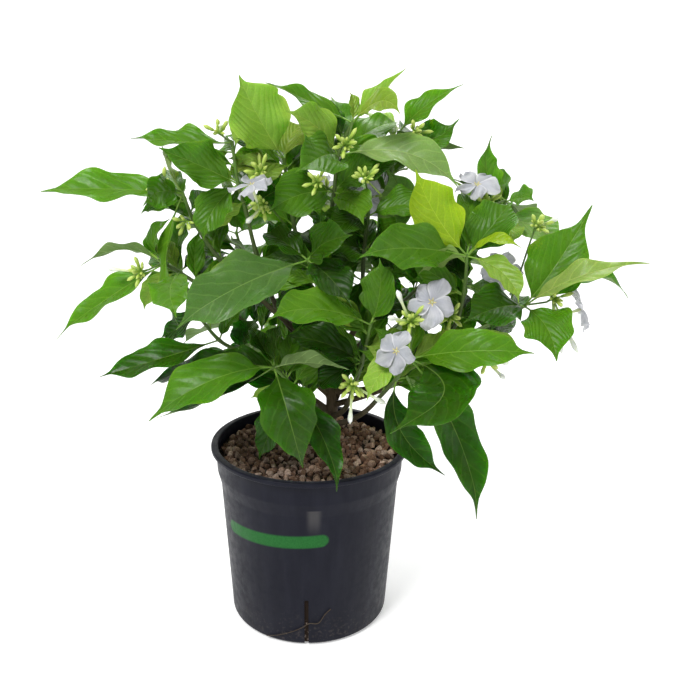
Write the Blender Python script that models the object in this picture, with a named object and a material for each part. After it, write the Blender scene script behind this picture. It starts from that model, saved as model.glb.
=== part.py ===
"""Potted pinwheel jasmine: a bushy flowering shrub in a round nursery pot.

Metres, +Z up. The origin is the centre of the pot's flat base and the front of
the plant faces -Y. Every leafy shoot, bud cluster and bloom is one closed solid.
"""
import math
from dataclasses import dataclass, replace

import bmesh
import bpy
import numpy as np
from mathutils import Quaternion, Vector, noise
from mathutils.bvhtree import BVHTree

MM = 0.001
GAP = 0.0003                     # clearance between neighbouring solids

# Pot
POT_HEIGHT = 0.185
POT_LIP_RADIUS = 0.100
POT_LIP_HEIGHT = 0.0045
POT_LIP_ROUND = 0.0014
POT_COLLAR_RADIUS = 0.0950       # just under the lip
POT_COLLAR_FOOT_RADIUS = 0.0943
POT_COLLAR_FOOT_Z = 0.160        # the collar ends here and slopes in
POT_STEP_RADIUS = 0.0906
POT_STEP_Z = 0.1457
POT_BASE_RADIUS = 0.0813
POT_BASE_ROUND = 0.003
POT_WALL = 0.0018
POT_FLOOR = 0.0025
POT_SIDES = 32
SLIT_WIDTH = 0.004
SLIT_HEIGHT = 0.053
SLIT_COUNT = 4
SLIT_REACH = 0.012               # in from the foot of the wall
NOTCH_WIDTH = 0.034              # shallow arch in the foot of the wall at each slit
NOTCH_HEIGHT = 0.0012
NOTCH_REACH = 0.009
CUT_MARGIN = 0.001               # that a cutter stands out of what it cuts

# Growing medium
MEDIUM_TOP = 0.175
MEDIUM_RINGS = (0.016, 0.032, 0.048, 0.064, 0.079)
GRANULE_SIZE = 0.013
GRANULE_RELIEF = 0.0035

# Front view that the plant's places are read from, 675 units square. A place in
# it is (across, down, depth), with the depth in millimetres behind the pot's axis.
VIEW_MIDDLE = 337.5
VIEW_FOCAL = 812.0
VIEW_EYE = Vector((0.027, -0.767, 0.5205))
VIEW_DIP = math.radians(16.43)
VIEW_ROLL = math.radians(0.7)
VIEW_AHEAD = Vector((0, math.cos(VIEW_DIP), -math.sin(VIEW_DIP)))
VIEW_LEVEL = Vector((1, 0, 0))
VIEW_RISE = Vector((0, math.sin(VIEW_DIP), math.cos(VIEW_DIP)))
VIEW_RIGHT = VIEW_LEVEL * math.cos(VIEW_ROLL) + VIEW_RISE * math.sin(VIEW_ROLL)
VIEW_UP = VIEW_RISE * math.cos(VIEW_ROLL) - VIEW_LEVEL * math.sin(VIEW_ROLL)

# Leaf blade: share of the half width along the blade, from its foot to its tip
BLADE_OUTLINE = (
    (0.00, 0.05), (0.07, 0.26), (0.18, 0.64), (0.32, 0.93), (0.45, 1.00), (0.60, 0.93),
    (0.74, 0.68), (0.85, 0.36), (0.93, 0.13), (1.00, 0.05),
)
PETIOLE_SHARE = 0.10             # of the leaf's length
PETIOLE_HALF_WIDTH = 0.0010
PETIOLE_SEAT = 0.0009            # from the stem's axis to the sunk end of the petiole
PETIOLE_END_SEAT = 0.0016        # in from the end of the stem, for a leaf at its end
BLADE_THICKNESS = 0.0008
BLADE_KEEL = 1.4                 # depth below the midrib, over that at the margins
BLADE_FOLD = math.radians(17)    # each half rises this much from the midrib
BLADE_WAVES = 2.5
BLADE_WAVE_SHARE = 0.055         # wave height over the leaf's width
BLADE_STATIONS = (              # along a leaf, by the least width in mm that they are for
    (40, (0.21, 0.40, 0.63, 0.86, 1.0)),
    (27, (0.27, 0.54, 0.85, 1.0)),
    (0, (0.34, 0.78, 1.0)),
)
BLADE_CAP = ((0, 5, 4), (0, 4, 1), (1, 4, 3), (1, 3, 2))
PETIOLE_CORNERS = ((-1, 0.6), (1, 0.6), (0, -1))    # across and up, over its half width
# From the petiole's three corners, 0 to 2, to the blade's first ring, 3 to 8
BLADE_FOOT = (
    (0, 1, 4), (0, 4, 3), (1, 5, 4), (1, 2, 6), (1, 6, 5), (2, 7, 6), (2, 8, 7), (2, 0, 3), (2, 3, 8),
)
BEND_CLEARANCE = 0.0008
BEND_STEPS = (0, -7, 7, -14, 14, -21, 21, -28, 28, -36, 36, -44, 44)
ROLL_STEPS = (0, 15, -15, 30, -30)
ROLL_COST = 0.7                  # of a degree of roll, in mm of bend
VIA_SHIFT = 0.6                  # how far the midrib's middle goes with its tip

# Stems
TRUNK = (
    Vector((0.021, 0.022, 0.138)), Vector((0.020, 0.018, 0.165)), Vector((0.019, 0.012, 0.192)),
    Vector((0.022, 0.010, 0.216)), Vector((0.020, 0.014, 0.245)), Vector((0.020, 0.018, 0.272)),
)
TRUNK_RADII = (0.0060, 0.0058, 0.0054, 0.0049, 0.0042, 0.0034)
TRUNK_SIDES = 8
BRANCH_RADIUS = 0.0026
BRANCH_FLARE = 1.2               # at the trunk, over the branch's radius
BRANCH_SEAT = 0.0022             # from the trunk's axis to the sunk end of a branch
BRANCH_END_SEAT = 0.004          # in from the end of the trunk, for a branch at its end
BRANCH_END = 0.004               # straight end that meets the foot of a shoot
STALK_BEND = 0.4                 # reach of a stalk's bend, over its length
STEM_RADIUS = 0.0022
STEM_TIP_RADIUS = 0.0015
PEDUNCLE_RADIUS = 0.0010
PEDUNCLE_END = 0.003             # straight end, as that of a bloom's stalk
PEDUNCLE_TURN = 0.35             # how far its end turns to the cluster's aim
STEM_SIDES = 5
BRANCH_SIDES = 4
PEDUNCLE_SIDES = 3

# Flowers
HUB_RADIUS = 0.0017
BALL_CORNERS = 12                # of the small ball that a bud cluster is drawn out of
HUB_STALK = 0.005                # from the end of the peduncle to the hub of the buds
BUD_LENGTHS = (0.013, 0.016, 0.019)
BUD_LEANS = (14, 76)             # degrees from the cluster's aim, for its first and last bud
BUD_TURN = math.radians(137.5)   # from one bud to the next
BUD_TUBE_RADIUS = 0.0009
BUD_HEAD_RADIUS = 0.0021
BUD_TIP_RADIUS = 0.0006
BUD_HEAD_SHARE = 0.68            # of the way from the hub to a short bud's tip
TUBE_NECK_SHARE, TUBE_HEAD_SHARE = 0.55, 0.86    # and to a long one's
STALK_CURVE_SHARE = 0.35         # from the bend of a bloom's stalk to its end
BLOOM_TUBE = 0.018
BLOOM_TUBE_RADIUS = 0.0012
BLOOM_FOOT_RADIUS = 0.00096
BLOOM_FLARE = 0.004              # length of the tube's widening mouth
BLOOM_MOUTH_RADIUS = 0.0024
BLOOM_SIDES = 4
PETALS = 5
PETAL_THICKNESS = 0.0007
# Edge of one petal, from the cleft before it: distance from the throat, turn in degrees
# from the petal's own line, and lift towards the face
PETAL_EDGE = (
    (0.0042, -36, -0.0004), (0.0125, -31, -0.0009), (0.0187, -15, -0.0014),
    (0.0205, 5, -0.0022), (0.0172, 24, 0.0002), (0.0105, 31, 0.0011),
)
PETAL_MIDDLE = (0.0110, 0, 0.0010)

# Root that has grown out of the front slit, as (turn in degrees, height) on the wall
ROOT_PATH = (
    (-29, 0.004), (-20, 0.009), (-10, 0.016), (-3, 0.022), (2, 0.027), (8, 0.027), (12, 0.036), (16, 0.042),
)
ROOT_RADIUS = 0.0006
ROOT_SIDES = 4


@dataclass(frozen=True)
class Leaf:
    """A leaf on a stem: its joint, tip and width, and how the blade is turned."""
    joint: float                 # point of the stem that it grows from
    tip: tuple                   # (across, down, depth) in the front view
    width: float                 # mm
    roll: float                  # degrees from facing the front, over the top
    via: tuple = None            # place that the midrib passes half way
    bow: float = 0.10            # or its rise there, over the leaf's length
    sky: bool = False            # roll is from facing straight up instead


@dataclass(frozen=True)
class Cyme:
    """A bud cluster at the end of a peduncle, and the blooms that open from it."""
    name: str
    joint: int                   # point of the stem that the peduncle grows from
    hub: tuple                   # (across, down, depth) of the end of the peduncle
    aim: tuple                   # direction that the buds fan about
    buds: int
    tubes: tuple = ()            # tips of the long buds, as places
    blooms: tuple = ()           # (name, centre place, facing direction, size)


@dataclass(frozen=True)
class Shoot:
    """A leafy stem that carries on from a branch of the trunk."""
    name: str
    fork: float                  # point of the trunk that its branch grows from
    stem: tuple                  # places along the stem
    leaves: tuple
    cymes: tuple = ()


SHOOTS = (
    Shoot("upper_left", 4.9, ((262, 300, -5), (222, 262, -8), (196, 225, -10), (182, 192, -10)), (
        Leaf(3, (40, 190, -25), 40, 48, bow=0.02),
        Leaf(3, (144, 204, -78), 32, 30),
        Leaf(3, (163, 145, 10), 20, 78),
        Leaf(3, (176, 327, -40), 20, 62),
    ), (
        Cyme("upper_left", 3, (168, 187, -20), (-0.7, -0.5, 0.3), 6),
        Cyme("left_stem", 2, (190, 221, -18), (-0.4, -0.5, -0.5), 4),
    )),
    Shoot("left_inner", 4.7, ((272, 296, 5), (256, 252, 0), (246, 212, -5), (238, 184, -8), (232, 141, -5)), (
        Leaf(4, (131, 136, 0), 36, 57, bow=-0.02),
        Leaf(3, (159, 149, -45), 44, 25, bow=0.02),
        Leaf(3, (202, 240, -30), 34, 20),
        Leaf(3, (243, 232, 30), 30, 45),
    ), (
        Cyme("left_high", 4, (224, 137, -8), (-0.3, -0.2, 0.9), 4, tubes=((220.5, 124, -10),)),
    )),
    Shoot("left_centre", 5, ((304, 292, 8), (297, 240, 5), (289, 200, 5), (284, 158, 5)), (
        Leaf(3, (239, 76, -40), 56, 12, via=(258, 116, -20)),
        Leaf(3, (303, 122, 30), 40, 25),
        Leaf(3, (225, 135, 38), 32, 30),
        Leaf(2.7, (236, 137, 6), 26, 60),
        Leaf(2.6, (228, 158, 22), 38, 30, bow=0.05),
        Leaf(1, (266, 243, -12), 34, 35),
        Leaf(0.5, (254, 312, 26), 36, 35),
    ), (
        Cyme("left_upper", 2, (264, 176, -18), (-0.5, -0.5, 0.5), 9),
        Cyme("left_low", 1, (268, 206, -22), (-0.6, -0.5, -0.4), 8, tubes=((246, 223, -35),),
             blooms=(("left", (251, 184, -54), (-0.25, -0.32, 0.91), 1.0),)),
    )),
    Shoot("top_centre", 5, ((320, 288, 8), (327, 240, 8), (334, 192, 5), (338, 155, 5), (353, 121, 5)), (
        Leaf(4, (350, 91, 10), 12, 30),
        Leaf(4, (405, 67, -5), 22, 40, via=(376, 97, 0)),
        Leaf(4, (266, 81, -15), 26, 55, via=(309, 101, 0)),
        Leaf(4, (400, 114, -40), 22, 35, via=(380, 101, -24)),
        Leaf(3, (286, 112, -30), 36, 30),
        Leaf(3, (297, 173, -62), 44, 20),
        Leaf(3, (458, 187, -30), 37, 35, via=(407, 153, -15)),
        Leaf(3, (400, 122, 62), 36, 45),
        Leaf(2, (268, 211, -50), 46, 15),
        Leaf(2, (378, 157, -20), 34, 20),
        Leaf(2, (363, 224, -48), 34, 30),
        Leaf(1, (353, 270, -14), 36, 40),
        Leaf(1, (298, 264, -10), 36, 35),
        Leaf(1, (366, 216, 34), 36, 30),
    ), (
        Cyme("top", 4, (347, 142, -10), (-0.2, -0.6, 0.2), 6),
        Cyme("centre", 2, (321, 184, -18), (-0.5, -0.6, 0.3), 6),
    )),
    Shoot("right_top", 4.9, ((372, 290, 28), (380, 232, 32), (390, 178, 34), (399, 131, 32)), (
        Leaf(3, (463, 83, 20), 28, 38, via=(424, 107, 25)),
        Leaf(3, (459, 119, 8), 38, 30, via=(433, 138, 18)),
        Leaf(3, (424, 150, 112), 40, 10, sky=True),
        Leaf(2, (350, 150, 90), 38, 20, sky=True),
    ), (
        Cyme("right_high", 3, (410, 133, 22), (0.6, -0.4, 0.4), 5),
    )),
    Shoot("centre", 4.5, ((362, 296, 0), (364, 250, -5), (368, 216, -8), (368, 194, -10)), (
        Leaf(1, (385, 168, 14), 38, 12, via=(398, 205, 12)),
        Leaf(2, (433, 207, -22), 34, 40),
        Leaf(1, (403, 240, -62), 40, 40),
        Leaf(1, (318, 252, -45), 40, 35),
        Leaf(2, (330, 232, -20), 34, 30),
        Leaf(1, (394, 270, -22), 36, 40),
        Leaf(0.4, (336, 326, -32), 36, 35),
        Leaf(0.4, (402, 300, 18), 36, 40),
    ), (
        Cyme("centre_right", 3, (366, 184, -12), (-0.1, -0.5, 0.7), 7, tubes=((360, 180, -22),),
             blooms=(("centre_back", (369, 198, 13), (-0.35, 0.85, -0.2), 1.0),)),
    )),
    Shoot("right", 3.6, ((440, 350, -20), (458, 318, -28), (465, 285, -32), (467, 254, -32)), (
        Leaf(3, (415, 170, -48), 46, 12, via=(436, 215, -42)),
        Leaf(3, (512, 200, -20), 46, 22),
        Leaf(3, (360, 256, -78), 47, 40, via=(409, 248, -60)),
        Leaf(3, (521, 303, -80), 25, 30, via=(502, 272, -60)),
        Leaf(3, (521, 248, -62), 15, 55, via=(493, 240, -50)),
        Leaf(3, (418, 272, -56), 26, 128),
        Leaf(3, (462, 188, 22), 36, 30),
        Leaf(1, (494, 322, -8), 34, 40),
        Leaf(1, (424, 290, 4), 34, 35),
        Leaf(2, (494, 312, 10), 34, 35),
        Leaf(2, (436, 256, 2), 32, 40),
    ), (
        Cyme("right_low", 1, (452, 316, -42), (-0.3, -0.7, 0.1), 8,
             blooms=(("front_right", (432, 302, -78), (-0.10, -0.86, 0.48), 1.1),)),
    )),
    Shoot("far_right", 3.1, ((432, 362, -25), (470, 334, -36), (505, 318, -42), (526, 305, -42)), (
        Leaf(3, (593, 205, -25), 59, 22, via=(558, 262, -35)),
        Leaf(3, (651, 262, -60), 29, 48, via=(581, 276, -62)),
        Leaf(3, (631, 298, -22), 32, 60, via=(586, 276, -28)),
        Leaf(3, (556, 361, -92), 49, 22, via=(547, 328, -70)),
        Leaf(3, (464, 322, -88), 44, 30),
        Leaf(2, (490, 330, -68), 18, 40),
        Leaf(1, (452, 378, -18), 34, 40),
        Leaf(1, (500, 356, -10), 32, 40),
    ), (
        Cyme("far_right", 3, (548, 301, -50), (0.3, -0.4, 0.75), 5, tubes=((578, 353, -70), (562, 354, -66)),
             blooms=(("far_right", (582, 309, -62), (0.90, -0.22, 0.38), 1.0),)),
        Cyme("right_under", 1, (484, 356, -62), (0.4, -0.5, -0.6), 3,
             tubes=((505, 379, -80), (509, 363, -78), (446, 374, -84))),
        Cyme("right_upper", 2, (534, 232, -14), (0.4, -0.3, 0.6), 6, tubes=((558, 218, -10),)),
    )),
    Shoot("front_right", 2.2, ((375, 402, -45), (396, 379, -65), (411, 357, -75)), (
        Leaf(2, (535, 353, -118), 40, 20, via=(470, 351, -105)),
        Leaf(2, (389, 430, -150), 64, 12, via=(444, 392, -120)),
        Leaf(2, (481, 519, -112), 39, 18, via=(455, 430, -92)),
        Leaf(2, (367, 402, -112), 26, 30, via=(384, 370, -98)),
        Leaf(1, (446, 475, -84), 34, 20, via=(401, 431, -78)),
    ), (
        Cyme("front_right", 2, (411, 326, -80), (-0.2, -0.7, 0.4), 7,
             tubes=((397, 290, -88), (388, 317, -96)),
             blooms=(("front", (396, 351, -108), (-0.46, -0.84, 0.28), 1.0),)),
    )),
    Shoot("front_centre", 2.6, ((350, 398, -28), (362, 362, -52), (371, 323, -65)), (
        Leaf(2, (268, 318, -108), 40, 38, via=(318, 309, -92)),
        Leaf(2, (380, 258, -66), 34, 18),
        Leaf(1, (285, 336, -62), 38, 40),
        Leaf(1, (314, 388, -50), 34, 35),
        Leaf(2, (402, 300, -30), 30, 40),
        Leaf(1, (404, 348, -40), 34, 35),
    ), (
        Cyme("front_low", 1, (354, 380, -72), (-0.3, -0.7, -0.4), 9,
             tubes=((350, 424, -84), (386, 404, -80))),
    )),
    Shoot("front_left", 2.3, ((316, 406, -20), (293, 386, -48), (273, 366, -62)), (
        Leaf(2, (147, 421, -100), 48, 38, via=(212, 380, -88)),
        Leaf(2, (303, 470, -100), 53, 6, via=(288, 414, -108)),
        Leaf(2, (148, 385, -30), 36, 55),
        Leaf(2, (155, 417, -45), 22, 72, via=(215, 398, -48)),
        Leaf(2, (350, 369, -108), 26, 118),
        Leaf(2, (281, 321, -58), 26, 62),
        Leaf(2, (252, 326, -30), 26, 40),
        Leaf(1, (259, 460, -62), 30, 28, via=(273, 425, -58)),
        Leaf(1, (340, 491, -116), 33, 28, via=(323, 438, -92)),
        Leaf(0.5, (250, 352, 8), 36, 40),
        Leaf(1, (226, 372, -12), 36, 38),
    )),
    Shoot("lower_left", 2.8, ((272, 372, -12), (242, 353, -22), (219, 340, -28), (196, 313, -28)), (
        Leaf(2, (99, 377, -62), 38, 45, via=(156, 360, -50)),
        Leaf(3, (160, 337, 0), 28, 35, via=(180, 327, -10)),
        Leaf(2, (245, 308, -18), 20, 45),
        Leaf(3, (188, 286, 10), 26, 60),
        Leaf(1, (256, 318, 4), 34, 40),
        Leaf(0.5, (222, 392, 4), 34, 45),
    )),
    Shoot("left", 3.4, ((244, 322, 0), (207, 291, -8), (179, 272, -12), (162, 263, -15)), (
        Leaf(3, (170, 218, -12), 24, 62, via=(154, 240, -15)),
        Leaf(3, (81, 265, -8), 23, 112, via=(124, 249, -12)),
        Leaf(3, (55, 336, -48), 36, 50, via=(108, 298, -35)),
        Leaf(2, (178, 316, -72), 36, 12, via=(170, 291, -56)),
        Leaf(2, (232, 254, 35), 26, 55),
    ), (
        Cyme("left_tip", 3, (147, 270, -22), (-0.7, -0.4, 0.0), 7, tubes=((107, 268, -24),)),
    )),
    Shoot("mid_left", 4.1, ((324, 300, -12), (316, 276, -26), (307, 259, -35)), (
        Leaf(2, (174, 328, -100), 54, 25, via=(240, 286, -80)),
        Leaf(2, (352, 236, -78), 38, 35),
        Leaf(2, (352, 306, -86), 36, 30),
        Leaf(2, (262, 232, 0), 32, 40),
        Leaf(0.5, (276, 318, 2), 34, 35),
        Leaf(0.5, (304, 346, -40), 34, 30),
    )),
    Shoot("right_back", 4.4, ((440, 300, 25), (474, 252, 30), (498, 218, 30), (506, 200, 28)), (
        Leaf(3, (492, 135, 18), 27, 28, via=(487, 172, 24)),
        Leaf(3, (534, 200, 8), 26, 50),
        Leaf(2, (513, 243, -5), 26, 45),
        Leaf(2, (563, 246, 2), 32, 40),
        Leaf(3, (520, 235, 110), 38, 10, sky=True),
        Leaf(2, (440, 240, 95), 40, 15, sky=True),
    ), (
        Cyme("right_bloom", 3, (488, 205, 8), (-0.1, -0.5, 0.8), 6,
             blooms=(("right_high", (477, 184, -2), (-0.12, -0.55, 0.83), 1.05),)),
        Cyme("right_mid", 1, (492, 272, 12), (0.3, -0.6, 0.3), 4,
             blooms=(("right_mid", (505, 269, -20), (0.15, -0.85, 0.45), 1.05),)),
    )),
    Shoot("back_left", 4.3, ((290, 318, 48), (262, 285, 78), (244, 255, 98), (236, 232, 106)), (
        Leaf(3, (178, 232, 120), 38, 20, sky=True),
        Leaf(3, (262, 168, 140), 40, -25, sky=True),
        Leaf(3, (290, 225, 175), 42, 12, sky=True),
        Leaf(2, (196, 300, 130), 38, 10, sky=True),
        Leaf(2, (300, 290, 165), 40, -12, sky=True),
        Leaf(1, (205, 262, 60), 34, 25, sky=True),
    ), (
        Cyme("back_left", 3, (240, 216, 120), (-0.2, 0.8, 0.5), 6,
             blooms=(("back_left", (250, 205, 150), (0.0, 0.9, 0.4), 1.0),)),
    )),
    Shoot("back_low_left", 3.2, ((296, 352, 45), (268, 336, 78), (248, 326, 100)), (
        Leaf(2, (180, 345, 125), 40, 10, sky=True),
        Leaf(2, (262, 372, 165), 42, 0, sky=True),
        Leaf(2, (222, 300, 160), 38, 10, sky=True),
        Leaf(1, (215, 372, 70), 36, 15, sky=True),
        Leaf(1, (300, 385, 125), 36, -10, sky=True),
    )),
    Shoot("back_centre", 4.7, ((332, 296, 50), (330, 262, 84), (328, 230, 104), (326, 208, 112)), (
        Leaf(3, (282, 172, 140), 38, -15, sky=True),
        Leaf(3, (380, 180, 150), 42, 15, sky=True),
        Leaf(3, (336, 222, 190), 42, 0, sky=True),
        Leaf(2, (292, 262, 175), 38, 10, sky=True),
        Leaf(2, (388, 262, 170), 40, -10, sky=True),
        Leaf(1, (340, 300, 155), 38, 5, sky=True),
    ), (
        Cyme("back_centre", 3, (326, 196, 118), (0.0, 0.6, 0.8), 6,
             blooms=(("back_high", (322, 186, 146), (-0.2, 0.8, 0.55), 1.0),)),
    )),
    Shoot("back_low_right", 2.9, ((366, 350, 45), (388, 334, 82), (402, 322, 108)), (
        Leaf(2, (470, 335, 130), 40, 10, sky=True),
        Leaf(2, (402, 362, 175), 42, 0, sky=True),
        Leaf(2, (425, 292, 165), 38, 12, sky=True),
        Leaf(1, (340, 362, 140), 38, -10, sky=True),
        Leaf(1, (448, 362, 85), 36, 15, sky=True),
    )),
    Shoot("back_right", 4.0, ((392, 312, 45), (424, 282, 80), (446, 256, 98), (456, 238, 104)), (
        Leaf(3, (518, 218, 125), 40, 15, sky=True),
        Leaf(3, (424, 190, 140), 38, -15, sky=True),
        Leaf(3, (462, 240, 180), 42, 5, sky=True),
        Leaf(2, (510, 290, 140), 40, -10, sky=True),
        Leaf(2, (408, 282, 170), 38, 12, sky=True),
        Leaf(1, (470, 300, 60), 34, 15, sky=True),
    ), (
        Cyme("back_right", 3, (462, 222, 112), (0.3, 0.6, 0.6), 6,
             blooms=(("back_right", (474, 216, 140), (0.35, 0.8, 0.4), 1.0),)),
    )),
)


def place(across, down, depth):
    """The point seen at (across, down) of the front view, depth mm behind the pot's axis."""
    ray = (VIEW_AHEAD + VIEW_RIGHT * ((across - VIEW_MIDDLE) / VIEW_FOCAL)
           + VIEW_UP * ((VIEW_MIDDLE - down) / VIEW_FOCAL))
    return VIEW_EYE + ray * ((depth * MM - VIEW_EYE.y) / ray.y)


def across_to(vector, axis):
    """The part of a vector that is square to an axis, made one long."""
    return (vector - axis * vector.dot(axis)).normalized()


def bent(start, middle, end, steps):
    """Points of a quadratic curve."""
    return [start.lerp(middle, t).lerp(middle.lerp(end, t), t)
            for t in (step / steps for step in range(steps + 1))]


def loft(rings, cap, turned=()):
    """A closed skin of triangles over rings of points. cap lists an end's triangles, and
    turned the strips along the rings whose quads are split the other way."""
    sides = len(rings[0])
    faces = list(cap)
    for ring in range(len(rings) - 1):
        for strip in range(sides):
            a, b = ring * sides + strip, ring * sides + (strip + 1) % sides
            c, d = b + sides, a + sides
            faces += [(a, b, d), (b, c, d)] if strip in turned else [(a, b, c), (a, c, d)]
    last = (len(rings) - 1) * sides
    faces += [(last + a, last + c, last + b) for a, b, c in cap]
    return [point for ring in rings for point in ring], faces


def fan(sides):
    """The triangles of a flat end."""
    return [(0, k + 1, k) for k in range(1, sides - 1)]


def tube(points, radii, sides):
    """A closed tube along points."""
    aims = [(points[min(i + 1, len(points) - 1)] - points[max(i - 1, 0)]).normalized()
            for i in range(len(points))]
    side = across_to(Vector((0.31, 0.17, 0.94)), aims[0])
    rings = []
    for i, (point, aim, radius) in enumerate(zip(points, aims, radii)):
        if i:
            side = across_to(aims[i - 1].rotation_difference(aim) @ side, aim)
        other = aim.cross(side)
        rings.append([point + (side * math.cos(turn) + other * math.sin(turn)) * radius
                      for turn in (2 * math.pi * k / sides for k in range(sides))])
    faces = [tuple(reversed(range(sides)))]
    for ring in range(len(points) - 1):
        for k in range(sides):
            a, b = ring * sides + k, ring * sides + (k + 1) % sides
            faces.append((a, b, b + sides, a + sides))
    faces.append(tuple((len(points) - 1) * sides + k for k in range(sides)))
    return [point for ring in rings for point in ring], faces


def tapered(points, start, end):
    """Radii from start to end, one for each point."""
    return np.linspace(start, end, len(points))


def stem_point(stem, joint, end_seat):
    """A point along a stem, at joint 1.5 half way from its second point to its third one. At
    the stem's end it is brought in by end_seat, so that what grows on from it is sunk in it."""
    low = int(joint)
    if low == len(stem) - 1:
        return stem[-1] + (stem[-2] - stem[-1]).normalized() * end_seat
    return stem[low].lerp(stem[low + 1], joint - low)


def leaf_midrib(leaf, stem):
    """The leaf's midrib as (start, control, end) of a quadratic curve."""
    start, end = stem_point(stem, leaf.joint, PETIOLE_END_SEAT), place(*leaf.tip)
    chord = end - start
    start = start + chord.normalized() * PETIOLE_SEAT
    if leaf.via:
        middle = place(*leaf.via)
    else:
        away = Vector((start.x, start.y, 0)).normalized() * 0.6 + Vector((0, 0, 0.8))
        middle = (start + end) / 2 + across_to(away, chord.normalized()) * leaf.bow * chord.length
    return start, middle * 2 - (start + end) / 2, end


def leaf_frames(leaf, stem, stations):
    """Point, aim, side and face direction of the midrib at each station."""
    start, control, end = leaf_midrib(leaf, stem)
    middle = bent(start, control, end, 2)[1]
    middle_aim = (end - start).normalized()
    toward = Vector((0, 0, 1)) if leaf.sky else VIEW_EYE - middle
    face = across_to(toward, middle_aim)
    over = middle_aim.cross(face)
    if over.z < 0 and not leaf.sky:
        over = -over
    roll = math.radians(leaf.roll)
    face = face * math.cos(roll) + over * math.sin(roll)
    frames = []
    for t in stations:
        point = start.lerp(control, t).lerp(control.lerp(end, t), t)
        aim = ((control - start) * (1 - t) + (end - control) * t).normalized()
        turned = middle_aim.rotation_difference(aim) @ face
        frames.append((point, aim, aim.cross(turned), turned))
    return frames


def blade_share(t):
    """Share of the leaf's half width at t along the leaf."""
    along = max(0.0, (t - PETIOLE_SHARE) / (1 - PETIOLE_SHARE))
    return float(np.interp(along, *zip(*BLADE_OUTLINE)))


def blade_rings(leaf, stem, swell):
    """Rings of six points across the folded, wavy blade, from its foot to its tip."""
    stations = next(shares for least, shares in BLADE_STATIONS if leaf.width >= least)
    phase = 0.7 * leaf.tip[0] + 0.3 * leaf.tip[1]
    rings = []
    for t, (point, aim, side, face) in zip(stations, leaf_frames(leaf, stem, stations)):
        half = leaf.width * MM / 2 * blade_share(t) + swell
        top = face * (BLADE_THICKNESS / 2 + swell)
        edges = []
        for edge in (-1, 1):
            swing = math.sin(2 * math.pi * BLADE_WAVES * t + phase + edge * 0.8) * math.sin(math.pi * t)
            rise = half * math.sin(BLADE_FOLD) + swing * leaf.width * MM * BLADE_WAVE_SHARE
            edges.append(point + side * half * edge * math.cos(BLADE_FOLD) + face * rise)
        left, right = edges
        rings.append([left + top, point + top, right + top, right - top, point - top * BLADE_KEEL, left - top])
    return rings


def blade_solid(leaf, stem, swell=0.0):
    """The leaf's blade by itself, split into triangles alike on both faces."""
    return loft(blade_rings(leaf, stem, swell), BLADE_CAP, turned=(1, 4))


def leaf_solid(leaf, stem, swell=0.0):
    """A leaf: its blade on a three-sided petiole."""
    vertices, faces = blade_solid(leaf, stem, swell)
    half = PETIOLE_HALF_WIDTH + swell
    petiole = [point + (side * across + face * up) * half
               for point, aim, side, face in leaf_frames(leaf, stem, (0, PETIOLE_SHARE))
               for across, up in PETIOLE_CORNERS]
    skin = loft([petiole[:3], petiole[3:]], fan(3))[1][:-1]
    skin += [tuple(k + 3 for k in face) for face in BLADE_FOOT]
    skin += [tuple(k + 6 for k in face) for face in faces if face not in BLADE_CAP]
    return petiole + vertices, skin


class Thicket:
    """What has been placed so far, so that the next leaf can be bent clear of it."""

    def __init__(self):
        self.placed = []

    def add(self, owner, solid, blade=None):
        """Note a solid of an object, and the leaf blade in it that its own leaves may not cross."""
        self.placed.append((owner, as_tree(solid), as_tree(blade) if blade else None, bounds_of(solid)))

    def meets(self, owner, solid, blade):
        """Whether a new leaf of the owner crosses another object or another blade."""
        low, high = bounds_of(solid)
        whole, front = as_tree(solid), as_tree(blade)
        for other, tree, other_blade, (other_low, other_high) in self.placed:
            if (low > other_high).any() or (high < other_low).any():
                continue
            if other != owner and whole.overlap(tree):
                return True
            if other == owner and other_blade and front.overlap(other_blade):
                return True
        return False


def as_tree(solid):
    """The solid's faces, ready to be tested against others."""
    return BVHTree.FromPolygons(*solid)


def bounds_of(solid):
    """Lowest and highest corner of the box around a solid."""
    points = np.array(solid[0])
    return points.min(axis=0), points.max(axis=0)


def bend_clear(leaf, stem, owner, thicket):
    """The leaf with its tip brought forward or back until it crosses no other."""
    choices = sorted(((shift, roll) for shift in BEND_STEPS for roll in ROLL_STEPS),
                     key=lambda choice: abs(choice[0]) + abs(choice[1]) * ROLL_COST)
    for shift, roll in choices:
        across, down, depth = leaf.tip
        via = leaf.via and (leaf.via[0], leaf.via[1], leaf.via[2] + shift * VIA_SHIFT)
        tried = replace(leaf, tip=(across, down, depth + shift), via=via, roll=leaf.roll + roll)
        solid = leaf_solid(tried, stem, BEND_CLEARANCE)
        if not thicket.meets(owner, solid, blade_solid(tried, stem, BEND_CLEARANCE)):
            return tried
    raise ValueError(f"no clear place for the leaf of {owner} with its tip at {leaf.tip}")


def turned_solid(profile, sides=POT_SIDES):
    """A solid of revolution from (radius, height) pairs that start and end on the axis."""
    vertices = [Vector((0, 0, profile[0][1]))]
    for radius, height in profile[1:-1]:
        vertices += [Vector((radius * math.cos(turn), radius * math.sin(turn), height))
                     for turn in (2 * math.pi * k / sides for k in range(sides))]
    vertices.append(Vector((0, 0, profile[-1][1])))
    rings = len(profile) - 2
    faces = []
    for k in range(sides):
        after = (k + 1) % sides
        faces.append((0, 1 + after, 1 + k))
        for ring in range(rings - 1):
            a, b = 1 + ring * sides + k, 1 + ring * sides + after
            faces.append((a, b, b + sides, a + sides))
        last = 1 + (rings - 1) * sides
        faces.append((len(vertices) - 1, last + k, last + after))
    return vertices, faces


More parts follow.
